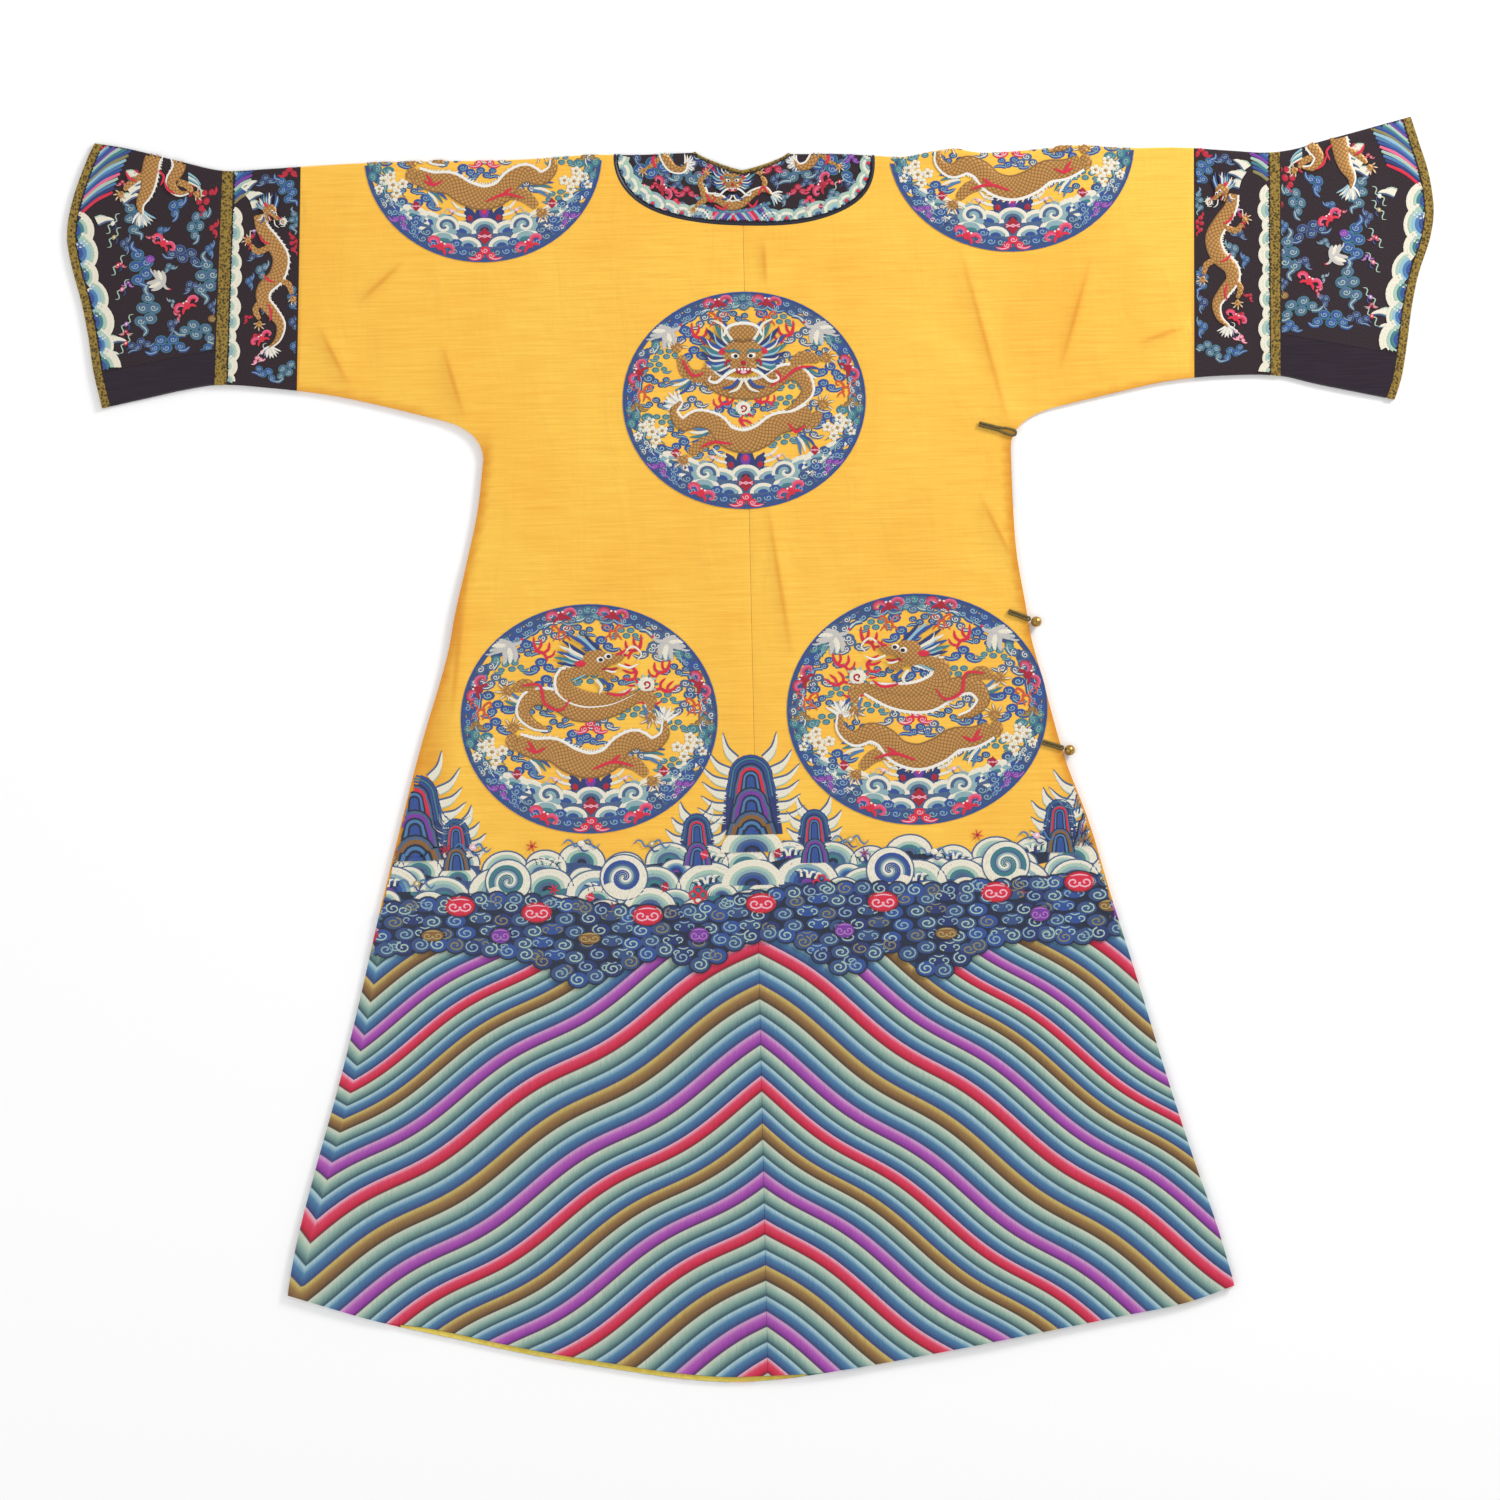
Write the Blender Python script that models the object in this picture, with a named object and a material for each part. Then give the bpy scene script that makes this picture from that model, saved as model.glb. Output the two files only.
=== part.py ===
"""A silk dragon robe laid face down, flat, with its back up.

X runs across the sleeves, Y runs up towards the shoulders, and Z is up from the surface
that the robe lies on. Lengths in the tables are millimetres in the robe's own pattern
frame: x from the neck's centre, drop down from the shoulder line. Each folded piece is
drawn unfolded, as one flat cut, and then laid over its fold.
"""
import math
from collections import namedtuple

import bmesh
import bpy
from mathutils import Vector
from mathutils.geometry import delaunay_2d_cdt

for old in list(bpy.data.objects):
    bpy.data.objects.remove(old, do_unlink=True)

# Driving dimensions, in millimetres
mm = 0.001
wall = 1.5
seam_gap = 0.3
neck_x = -4.4
shoulder_y = 687.0

# One layer on another: a wall and the gap above it
layer = wall + seam_gap
fold_outer = (wall + seam_gap + wall) / 2
fold_inner = seam_gap / 2
fold_mid = (fold_outer + fold_inner) / 2
fold_half = math.pi / 2 * fold_mid
fold_rows = [-fold_half, 0, fold_half]

# The centre seams of the back and the front, a little left of the neck's centre
centre_x = -4

# Neck, collar and front overlap: reach from the centre seam and depth from the fold,
# then how square the curve is on the back, left and right, and on the front; 2 would be
# an ellipse and 1 a straight line
Ring = namedtuple("Ring", "left right back front square_left square_right square_front")
collar_ring = Ring(147, 153, 83, 172, 2.3, 2.6, 2.4)
neck_ring = Ring(52, 52, 19.5, 96, 1.2, 1.2, 2.0)
neck_piping_width = 4.5
outer_piping_width = 3.5
piping_rise = 0.9
border_width = 62

underlap_hem_rise = 22
underlap_side_inset = 4

# Sleeve ends
edging_width = 9.5

# The front hem shows this far below the back hem
hem_peek = 6.5
lining_thickness = 0.8

# Closures
cord_radius = 1.45
strand_offset = 1.7
ball_radius = 6.2

# The shoulder line: the fold over the shoulders and along the top of the sleeves
Top = namedtuple("Top", "x drop")
top_rows = [
    Top(-748, -33), Top(-710, -26), Top(-650, -10), Top(-600, 2), Top(-550, 1),
    Top(-480, -2), Top(-400, -4), Top(-300, -3), Top(-240, -4), Top(-180, -7),
    Top(-120, -6), Top(-60, -7), Top(60, -3), Top(110, -2), Top(150, 1),
    Top(185, 3), Top(212, -2), Top(240, -5), Top(270, 0), Top(330, -2),
    Top(390, -6), Top(430, -2), Top(500, -1), Top(560, 4), Top(600, 7),
    Top(630, 4), Top(660, -4), Top(700, -14), Top(767, -31),
]

# The underside of each sleeve, by its distance from the centre line
Under = namedtuple("Under", "reach left right")
under_rows = [
    Under(360, 293, 292), Under(420, 277, 279), Under(480, 263, 267),
    Under(550, 253, 262), Under(610, 248, 264), Under(650, 253, 274),
    Under(690, 261, 283), Under(745, 272, 295),
]

# The side seams, from the armpit to the hem
Side = namedtuple("Side", "drop left right")
side_rows = [
    Side(340, 308, 298), Side(400, 316, 299), Side(460, 330, 302), Side(520, 345, 311),
    Side(560, 353, 317), Side(610, 368, 330), Side(640, 378, 337), Side(700, 396, 353),
    Side(770, 415, 378), Side(860, 439, 403), Side(960, 464, 432),
    Side(1060, 491, 460), Side(1160, 521, 490), Side(1240, 543, 516),
    Side(1306, 556, 534),
]

# The hem of the outer front, which is the lowest edge of the robe
Hem = namedtuple("Hem", "x drop")
hem_rows = [
    Hem(-557, 1295), Hem(-520, 1307), Hem(-450, 1329), Hem(-360, 1351),
    Hem(-270, 1372), Hem(-180, 1389), Hem(-110, 1401), Hem(-45, 1407),
    Hem(20, 1404), Hem(100, 1393), Hem(210, 1375), Hem(300, 1359),
    Hem(400, 1341), Hem(480, 1326), Hem(534, 1308),
]

# The outer end of each horseshoe cuff
End = namedtuple("End", "drop left right")
end_rows = [
    End(-33, 748, 766), End(0, 762, 775), End(30, 773, 784), End(60, 780, 789),
    End(80, 781, 790), End(110, 776, 785), End(150, 766, 771), End(190, 759, 762),
    End(230, 754, 756), End(272, 745, 748), End(295, 741, 740),
]

# Seams across the sleeve: their reach at the shoulder line and at the underside
Seam = namedtuple("Seam", "name top_left under_left top_right under_right")
seam_rows = [
    Seam("band", 511, 521, 516, 511),
    Seam("trim", 588, 602, 603, 599),
    Seam("cuff", 601, 616, 615, 610),
]

# The upper edge of the plain underarm piece on each cuff
Gusset = namedtuple("Gusset", "side inner_reach inner_drop outer_reach outer_drop")
gusset_rows = [
    Gusset(-1, 615, 208, 740, 230),
    Gusset(1, 612, 216, 745, 242),
]

# The upper edge of the front overlap, from the neck to the right armpit
Lap = namedtuple("Lap", "x drop")
lap_rows = [
    Lap(-4, 173), Lap(70, 178), Lap(140, 196), Lap(210, 235), Lap(260, 280),
    Lap(300, 322), Lap(380, 420),
]

# Creases of the back and sleeves: soft ridges between two points
Crease = namedtuple("Crease", "x0 drop0 x1 drop1 half_width rise")
crease_rows = [
    Crease(245, 111, 297, 318, 13, 2.6),
    Crease(262, 395, 300, 475, 12, 2.2),
    Crease(394, 126, 357, 250, 15, 2.4),
    Crease(449, 222, 500, 206, 11, 1.8),
    Crease(-493, 187, -462, 250, 12, 2.2),
    Crease(-446, 156, -396, 112, 13, 1.8),
    Crease(-352, 210, -330, 290, 12, 1.6),
    Crease(12, 100, 12, 150, 6, 1.2),
    Crease(17, 400, 40, 570, 9, 1.6),
    Crease(-330, 470, -352, 640, 12, 2.0),
    Crease(8, 1270, 9, 1388, 8, 1.8),
    Crease(92, 1262, 96, 1384, 9, 1.8),
    Crease(-250, 1180, -268, 1350, 12, 1.4),
    Crease(330, 1080, 368, 1320, 13, 1.6),
]

# Broad, low billows of the back: wave length along the pattern's x and drop
Billow = namedtuple("Billow", "wave_x wave_drop phase rise")
billow_rows = [
    Billow(430, 610, 0.6, 0.9),
    Billow(-270, 820, 2.1, 0.6),
    Billow(190, -1500, 4.0, 0.4),
]
billow_fade = 45

# Cloth buttons and loops on the right side: the cord's inner end, then its outer end
Closure = namedtuple("Closure", "name x0 drop0 x1 drop1 ball")
closure_rows = [
    Closure("closure_loop_armpit", 262, 312, 301, 323, False),
    Closure("closure_cord_waist", 291, 528, 314, 537, True),
    Closure("closure_cord_hip", 327, 679, 349, 686, True),
]


def smooth(low, high, value):
    """An even step from 0 at low to 1 at high."""
    part = min(1.0, max(0.0, (value - low) / (high - low)))
    return part * part * (3 - 2 * part)


def curve_through(rows, at, column, value):
    """Read one column of a table as a smooth curve, straight beyond its ends."""
    xs = [getattr(row, at) for row in rows]
    ys = [getattr(row, column) for row in rows]
    slopes = [(ys[i + 1] - ys[i]) / (xs[i + 1] - xs[i]) for i in range(len(xs) - 1)]
    tangents = [slopes[0]]
    for before, after in zip(slopes, slopes[1:]):
        tangents.append((before + after) / 2)
    tangents.append(slopes[-1])
    if value <= xs[0]:
        return ys[0] + tangents[0] * (value - xs[0])
    if value >= xs[-1]:
        return ys[-1] + tangents[-1] * (value - xs[-1])
    i = max(k for k in range(len(xs) - 1) if xs[k] <= value)
    span = xs[i + 1] - xs[i]
    t = (value - xs[i]) / span
    start = (1 + 2 * t) * (1 - t) ** 2 * ys[i] + t * (1 - t) ** 2 * span * tangents[i]
    stop = t * t * (3 - 2 * t) * ys[i + 1] + t * t * (t - 1) * span * tangents[i + 1]
    return start + stop


def side_name(side):
    return "left" if side < 0 else "right"


def top(x):
    return curve_through(top_rows, "x", "drop", x)


def under(x):
    return curve_through(under_rows, "reach", side_name(x), abs(x))


def side_edge(side, drop):
    return side * curve_through(side_rows, "drop", side_name(side), drop)


def sleeve_end(side, drop):
    return side * curve_through(end_rows, "drop", side_name(side), drop)


def front_hem(x):
    return curve_through(hem_rows, "x", "drop", x)


def back_hem(x):
    peek = smooth(-470, -380, x) * (1 - smooth(-30, 100, x))
    return front_hem(x) - hem_peek * peek


def lap_edge(x):
    return curve_through(lap_rows, "x", "drop", x)


def seam_x(name, side, drop):
    """Where a seam across the sleeve lies at one drop."""
    row = next(row for row in seam_rows if row.name == name)
    high = getattr(row, "top_" + side_name(side))
    low = getattr(row, "under_" + side_name(side))
    return side * (high + (low - high) * drop / 260)


def gusset_edge(side, x):
    row = next(row for row in gusset_rows if row.side == side)
    part = (abs(x) - row.inner_reach) / (row.outer_reach - row.inner_reach)
    return row.inner_drop + (row.outer_drop - row.inner_drop) * part


def lap_rise(x, drop):
    """How far the under-lap lies above the surface, because the overlap is below it."""
    above = lap_edge(max(x, centre_x)) - drop
    across = 1 if x >= centre_x else smooth(centre_x - 75, centre_x - 3, x)
    return layer * (1 - smooth(12, 50, above)) * across


def crease_rise(x, drop):
    """The creases and billows of the upper layer; they only lift it."""
    rise = 0
    for row in billow_rows:
        turn = 2 * math.pi * (x / row.wave_x + drop / row.wave_drop)
        rise += row.rise * (1 + math.cos(turn + row.phase)) / 2
    for row in crease_rows:
        run_x = row.x1 - row.x0
        run_drop = row.drop1 - row.drop0
        square = run_x ** 2 + run_drop ** 2
        along = ((x - row.x0) * run_x + (drop - row.drop0) * run_drop) / square
        along = min(1, max(0, along))
        away = math.hypot(x - row.x0 - along * run_x, drop - row.drop0 - along * run_drop)
        ends = math.sin(math.pi * (0.12 + 0.76 * along))
        rise += row.rise * ends * math.exp(-(away / row.half_width) ** 2)
    return rise


def back_height(x, drop):
    """The inner face of the back and the upper side of the sleeves."""
    edge = smooth(0, billow_fade, drop - top(x))
    return layer + lap_rise(x, drop) + edge * crease_rise(x, drop)


def front_height(x, drop, lapped):
    return lap_rise(x, drop) if lapped else 0.0


def unfold(x, drop, front=False):
    """A place on the laid robe as a point of the unfolded cut: x and length from the fold."""
    length = fold_half + drop - top(x) - fold_outer
    return (x, -length if front else length)


def lay(x, length, outer, lapped=False, rise=0.0):
    """A point of the unfolded cut, laid over the shoulder fold, in millimetres."""
    radius = fold_outer if outer else fold_inner
    line = top(x) + fold_outer
    if abs(length) <= fold_half:
        angle = length / fold_mid
        return (x, line - radius * math.cos(angle), fold_outer + radius * math.sin(angle))
    drop = line + abs(length) - fold_half
    if length > 0:
        low = back_height(x, drop)
        return (x, drop, low + (wall + rise if outer else 0))
    low = front_height(x, drop, lapped)
    return (x, drop, low + (0 if outer else wall))


def lay_under(x, length, outer):
    """The same for a cut that is folded at the underside of the sleeve."""
    radius = fold_outer if outer else fold_inner
    line = under(x) - fold_outer
    if abs(length) <= fold_half:
        angle = length / fold_mid
        return (x, line + radius * math.cos(angle), fold_outer + radius * math.sin(angle))
    drop = line - abs(length) + fold_half
    if length > 0:
        return (x, drop, back_height(x, drop) + (wall if outer else 0))
    return (x, drop, 0 if outer else wall)


def world(point):
    x, drop, z = point
    return Vector(((x + neck_x) * mm, (shoulder_y - drop) * mm, z * mm))


def spread(start, stop, step):
    """Even values from start to stop, both included."""
    count = max(1, round(abs(stop - start) / step))
    return [start + (stop - start) * i / count for i in range(count + 1)]


def with_fold_rows(outline):
    """Add a point wherever the outline crosses a row of the fold."""
    points = []
    for here, there in zip(outline, outline[1:] + outline[:1]):
        points.append(here)
        low, high = here[1], there[1]
        crossed = [row for row in fold_rows if min(low, high) + 0.05 < row < max(low, high) - 0.05]
        for row in sorted(crossed, reverse=low > high):
            part = (row - low) / (high - low)
            points.append((here[0] + (there[0] - here[0]) * part, row))
    return points


def inside(point, outline):
    x, y = point
    hit = False
    for (ax, ay), (bx, by) in zip(outline, outline[1:] + outline[:1]):
        if (ay > y) != (by > y) and x < ax + (y - ay) * (bx - ax) / (by - ay):
            hit = not hit
    return hit


def edge_distance(point, outline):
    best = 1e9
    for (ax, ay), (bx, by) in zip(outline, outline[1:] + outline[:1]):
        dx, dy = bx - ax, by - ay
        square = dx * dx + dy * dy
        part = 0 if square == 0 else ((point[0] - ax) * dx + (point[1] - ay) * dy) / square
        part = min(1, max(0, part))
        away = math.hypot(point[0] - ax - part * dx, point[1] - ay - part * dy)
        best = min(best, away)
    return best


def crease_points():
    """Places along each crease: its ridge and both its feet."""
    places = []
    for row in crease_rows:
        length = math.hypot(row.x1 - row.x0, row.drop1 - row.drop0)
        across = ((row.drop1 - row.drop0) / length, -(row.x1 - row.x0) / length)
        for part in spread(0, 1, 22 / length):
            for off in (-1.5 * row.half_width, 0, 1.5 * row.half_width):
                x = row.x0 + part * (row.x1 - row.x0) + across[0] * off
                drop = row.drop0 + part * (row.drop1 - row.drop0) + across[1] * off
                places.append((x, drop))
    return places


def row_edges(points, ring):
    """Edges along each row of the fold, so that no triangle cuts across it."""
    edges = []
    for row in fold_rows:
        on_row = [i for i, p in enumerate(points) if abs(p[1] - row) < 1e-6]
        on_row.sort(key=lambda i: points[i][0])
        for a, b in zip(on_row, on_row[1:]):
            middle = ((points[a][0] + points[b][0]) / 2, row)
            if inside(middle, ring):
                edges.append((a, b))
    return edges


def fill(outline, back_step, front_step, folded=True, extra=()):
    """Triangles of a flat cut: its outline, a staggered grid and any extra places."""
    ring = with_fold_rows(outline) if folded else list(outline)
    xs = [p[0] for p in ring]
    ys = [p[1] for p in ring]
    points = list(ring)
    for step, low, high in ((back_step, max(0, min(ys)), max(ys)), (front_step, min(ys), 0)):
        rows = spread(low, high, step * 0.87) if high > low else []
        for index, y in enumerate(rows):
            if abs(y) < fold_half + step * 0.4 and folded:
                continue
            x = math.floor(min(xs) / step) * step + (step / 2 if index % 2 else 0)
            while x < max(xs):
                if inside((x, y), ring) and edge_distance((x, y), ring) > step * 0.42:
                    points.append((x, y))
                x += step
    if folded and min(ys) < 0 < max(ys):
        for x in spread(min(xs), max(xs), back_step):
            for row in fold_rows:
                if inside((x, row), ring) and edge_distance((x, row), ring) > 1.2:
                    points.append((x, row))
    for place in extra:
        if inside(place, ring) and edge_distance(place, ring) > 4:
            points.append(place)
    flat = [Vector((x * mm, -y * mm)) for x, y in points]
    face = [list(range(len(ring)))]
    if sum(a[0] * -b[1] + a[1] * b[0] for a, b in zip(ring, ring[1:] + ring[:1])) < 0:
        face[0].reverse()
    edges = row_edges(points, ring) if folded else []
    made = delaunay_2d_cdt(flat, edges, face, 1, 1e-7)
    return [(v.x / mm, -v.y / mm) for v in made[0]], [tuple(f) for f in made[2]]


def wall_object(name, places, faces, outer_at, inner_at, colour):
    """A closed wall between two surfaces that share one set of triangles."""
    count = len(places)
    verts = [world(outer_at(*p)) for p in places] + [world(inner_at(*p)) for p in places]
    closed = [tuple(f) for f in faces]
    closed += [tuple(count + i for i in reversed(f)) for f in faces]
    edges = {(f[i], f[(i + 1) % len(f)]) for f in faces for i in range(len(f))}
    for a, b in edges:
        if (b, a) not in edges:
            closed.append((b, a, count + a, count + b))
    mesh = bpy.data.meshes.new(name)
    mesh.from_pydata(verts, [], closed)
    work = bmesh.new()
    work.from_mesh(mesh)
    bmesh.ops.recalc_face_normals(work, faces=work.faces)
    bmesh.ops.triangulate(work, faces=work.faces)
    work.to_mesh(mesh)
    work.free()
    return add_object(name, mesh, colour)


def add_object(name, data, colour, metallic=0.0, roughness=0.75):
    made = bpy.data.objects.new(name, data)
    bpy.context.scene.collection.objects.link(made)
    material = bpy.data.materials.new(name)
    material.use_nodes = True
    shader = material.node_tree.nodes["Principled BSDF"]
    shader.inputs["Base Color"].default_value = (*colour, 1)
    shader.inputs["Metallic"].default_value = metallic
    shader.inputs["Roughness"].default_value = roughness
    data.materials.append(material)
    return made


# Colours of the cloths, linear
yellow_silk = (0.86, 0.50, 0.06)
dark_silk = (0.05, 0.03, 0.05)
gold_brocade = (0.30, 0.20, 0.04)
navy_piping = (0.02, 0.02, 0.04)
olive_cord = (0.10, 0.08, 0.03)
brass = (0.55, 0.38, 0.12)


def grow(ring, by):
    return ring._replace(left=ring.left + by, right=ring.right + by,
                         back=ring.back + by, front=ring.front + by)


def ring_curve(ring, side, count):
    """One side of a ring round the neck, unfolded, from the centre back to the front."""
    points = []
    reach = getattr(ring, side_name(side))
    for index in range(count + 1):
        angle = math.pi / 2 - math.pi * index / count
        square = getattr(ring, "square_" + side_name(side)) if angle > 0 else ring.square_front
        power = 2 / square
        x = reach * abs(math.cos(angle)) ** power
        depth = ring.back if angle > 0 else ring.front
        y = math.copysign(depth * abs(math.sin(angle)) ** power, angle)
        points.append((centre_x + side * x, y))
    return points


def armpit(side):
    """A round armpit between the sleeve's underside and the side seam."""
    start = (side * 360, under(side * 360))
    stop = (side_edge(side, 340), 340)
    corner = (stop[0] + side * 1, start[1] + 12)
    points = []
    for part in (0.2, 0.4, 0.6, 0.8):
        a, b, c = (1 - part) ** 2, 2 * part * (1 - part), part ** 2
        x = a * start[0] + b * corner[0] + c * stop[0]
        drop = a * start[1] + b * corner[1] + c * stop[1]
        points.append((x, drop))
    return points


def half_outline(side, front):
    """The laid edge of one body half from the band seam to the centre of its hem."""
    hem = front_hem if front else back_hem
    under_lap = front and side > 0
    inset = underlap_side_inset if under_lap else 0
    lift = underlap_hem_rise if under_lap else 0
    seam = seam_x("band", side, under(side * 515)) - side * seam_gap / 2
    step = 46 if front else 34
    points = [(x, under(x)) for x in spread(seam, side * 360, step)]
    points += armpit(side)
    low = front_hem(side * 555) if side < 0 else front_hem(534)
    points += [(side_edge(side, d), d) for d in spread(340, low - 2, step)]
    points = [(x - side * inset * smooth(400, 330, abs(x)) if d < 340 else x - side * inset, d)
              for x, d in points]
    edge = points[-1][0]
    centre = centre_x + side * seam_gap / 2
    points[-1] = (edge, hem(edge) - lift)
    points += [(x, hem(x) - lift) for x in spread(edge, centre, step)[1:]]
    return points


def body(side):
    """A body half: back, shoulder and front in one length of yellow silk."""
    half = side * seam_gap / 2
    collar = ring_curve(grow(collar_ring, seam_gap), side, 36)
    collar[0] = (centre_x + half, collar[0][1])
    collar[-1] = (centre_x + half, collar[-1][1])
    back = [unfold(x, d) for x, d in half_outline(side, front=False)]
    front = [unfold(x, d, front=True) for x, d in half_outline(side, front=True)]
    shoulder = (seam_x("band", side, 0) - half, 0)
    outline = collar + list(reversed(front)) + [shoulder] + back
    extra = [unfold(x, d) for x, d in crease_points()]
    if side > 0:
        for x in spread(10, 330, 30):
            for off in (9, 31, 52):
                extra.append(unfold(x, lap_edge(x) - off, front=True))
    places, faces = fill(outline, 31, 62, extra=extra)
    lapped = side > 0
    wall_object("body_" + side_name(side), places, faces,
                lambda x, y: lay(x, y, True, lapped),
                lambda x, y: lay(x, y, False, lapped), yellow_silk)


def flat_panel(name, outline, step, colour, low=0.0, thick=wall):
    """A flat piece of the outer front, lying on the surface."""
    flat = [(x, d) for x, d in outline]
    places, faces = fill(flat, step, step, folded=False)
    wall_object(name, places, faces,
                lambda x, d: (x, d, low), lambda x, d: (x, d, low + thick), colour)


def lap_curve(offset, start, stop, step):
    """A line beside the overlap's upper edge, offset square to it."""
    points = []
    for x in spread(start, stop, step):
        slope = (lap_edge(x + 1) - lap_edge(x - 1)) / 2
        length = math.hypot(1, slope)
        points.append((x - slope / length * offset, lap_edge(x) + offset / length))
    return points


def clip_side(points, inset):
    """Keep the points of a lap curve that lie inside the right side seam."""
    return [(x, d) for x, d in points if x < side_edge(1, max(d, 340)) - inset]


def overlap():
    """The outer front's right half: its dark border, then the yellow panel below it."""
    left = centre_x + seam_gap / 2
    outer = [(max(x, left), d) for x, d in lap_curve(2.0, centre_x, 292, 20)]
    outer = clip_side(outer, 0.5)
    inner = [(max(x, left), d) for x, d in lap_curve(border_width, centre_x, 340, 20)]
    inner = clip_side(inner, 0.5)
    start = outer[-1][1]
    stop = inner[-1][1]
    edge = [(side_edge(1, max(d, 340)) - 0.2, d) for d in spread(max(start, 340), stop, 20)]
    border = outer + edge + list(reversed(inner))
    border[-1] = (left, lap_edge(left) + border_width)
    flat_panel("overlap_border", border, 26, dark_silk)
    upper = [(x, d + seam_gap * 1.6) for x, d in inner]
    upper[0] = (left, lap_edge(left) + border_width + seam_gap)
    low = front_hem(534)
    down = [(side_edge(1, d) - 0.2, d) for d in spread(stop + 1, low - 2, 46)]
    hem = [(x, front_hem(x)) for x in spread(down[-1][0], left, 40)]
    flat_panel("front_overlap", upper + down[:-1] + hem, 62, yellow_silk)


def hem_lining():
    """The lining of the outer front where it shows below the back hem."""
    xs = spread(-425, 40, 24)
    upper = [(x, back_hem(x) + 0.5) for x in xs]
    lower = [(x, front_hem(x) - 0.4) for x in reversed(xs)]
    flat_panel("hem_lining", upper + lower, 40, yellow_silk,
               low=layer, thick=lining_thickness)


def ring_piece(name, outer, inner, step, colour, rise=0.0):
    """A piece between two rings round the neck, slit in front."""
    count = 44
    slit = seam_gap / 2
    loop = []
    for size, way in ((outer, 1), (inner, -1)):
        left = ring_curve(size, -1, count)
        right = ring_curve(size, 1, count)
        around = list(reversed(left))[:-1] + right
        around[0] = (centre_x - slit, around[0][1])
        around[-1] = (centre_x + slit, around[-1][1])
        loop += around if way > 0 else list(reversed(around))
    places, faces = fill(loop, step, step * 1.4)
    wall_object(name, places, faces,
                lambda x, y: lay(x, y, True, rise=rise),
                lambda x, y: lay(x, y, False), colour)


def collar():
    """The shaped collar border and the two pipings that edge it."""
    ring_piece("collar_outer_piping", collar_ring, grow(collar_ring, -outer_piping_width),
               14, navy_piping, rise=piping_rise)
    ring_piece("collar", grow(collar_ring, -outer_piping_width - seam_gap),
               grow(neck_ring, neck_piping_width + seam_gap), 19, dark_silk)
    ring_piece("collar_neck_piping", grow(neck_ring, neck_piping_width), neck_ring,
               14, gold_brocade, rise=piping_rise)


def foot_of(at, low_at):
    """Where a line across the sleeve meets a lower edge."""
    x = at(250)
    for _ in range(5):
        x = at(low_at(x))
    return x


def sleeve_piece(name, near, far, low_at, step, colour):
    """A tube piece of the sleeve between two lines: one cut, folded along the top."""
    def line(at, front):
        """One edge on one face, from the shoulder line down."""
        foot = foot_of(at, low_at)
        drops = [20 * k for k in range(-2, 16)]
        shown = [d for d in drops if top(foot) + 6 < d < low_at(foot) - 4]
        points = [unfold(at(d), d, front) for d in shown]
        points.append(unfold(foot, low_at(foot), front))
        return points

    def hem(front):
        start = foot_of(near, low_at)
        stop = foot_of(far, low_at)
        return [unfold(x, low_at(x), front) for x in spread(start, stop, 22)[1:-1]]

    def fold_point(at):
        return [(at(top(at(0))), 0)]

    outline = list(reversed(line(near, True))) + fold_point(near) + line(near, False)
    outline += hem(False)
    outline += list(reversed(line(far, False))) + fold_point(far) + line(far, True)
    outline += list(reversed(hem(True)))
    places, faces = fill(outline, step, step * 1.4)
    wall_object(name, places, faces, lambda x, y: lay(x, y, True),
                lambda x, y: lay(x, y, False), colour)


def sleeve(side):
    """Band, gold trim, horseshoe cuff and its edging, from the elbow outwards."""
    half = side * seam_gap / 2
    name = side_name(side)

    def seam(which, shift):
        return lambda d: seam_x(which, side, d) + shift

    def end(inset):
        return lambda d: sleeve_end(side, d) - side * inset

    def above_gusset(x):
        return gusset_edge(side, x) - seam_gap / 2

    sleeve_piece("sleeve_band_" + name, seam("band", half), seam("trim", -half),
                 under, 24, dark_silk)
    sleeve_piece("band_trim_" + name, seam("trim", half), seam("cuff", -half),
                 under, 20, gold_brocade)
    sleeve_piece("cuff_" + name, seam("cuff", half), end(edging_width + seam_gap),
                 above_gusset, 24, dark_silk)
    sleeve_piece("cuff_edging_" + name, end(edging_width), end(0),
                 under, 20, gold_brocade)
    gusset(side, seam("cuff", half), end(edging_width + seam_gap))


def gusset(side, near, far):
    """The plain piece under the cuff, folded along the underside."""
    def length(x, drop, front):
        measured = fold_half + under(x) - fold_outer - drop
        return (x, -measured if front else measured)

    def low_at(x):
        return gusset_edge(side, x) + seam_gap / 2

    outline = []
    for front in (False, True):
        start = foot_of(near, low_at)
        stop = foot_of(far, low_at)
        upper = [(x, low_at(x)) for x in spread(start, stop, 21)]
        near_side = [(near(d), d) for d in spread(under(start), upper[0][1], 20)[1:-1]]
        drops = [20 * k for k in range(11, 16)]
        shown = [d for d in drops if upper[-1][1] + 4 < d < under(stop) - 4]
        far_side = [(far(d), d) for d in shown]
        run = [length(x, d, front) for x, d in near_side + upper + far_side]
        corner = (far(under(stop)), 0) if not front else (near(under(start)), 0)
        outline += (list(reversed(run)) if front else run) + [corner]
    places, faces = fill(outline, 21, 28)
    flipped = [tuple(reversed(f)) for f in faces]
    wall_object("cuff_underarm_" + side_name(side), places, flipped,
                lambda x, y: lay_under(x, y, True), lambda x, y: lay_under(x, y, False),
                dark_silk)


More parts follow.
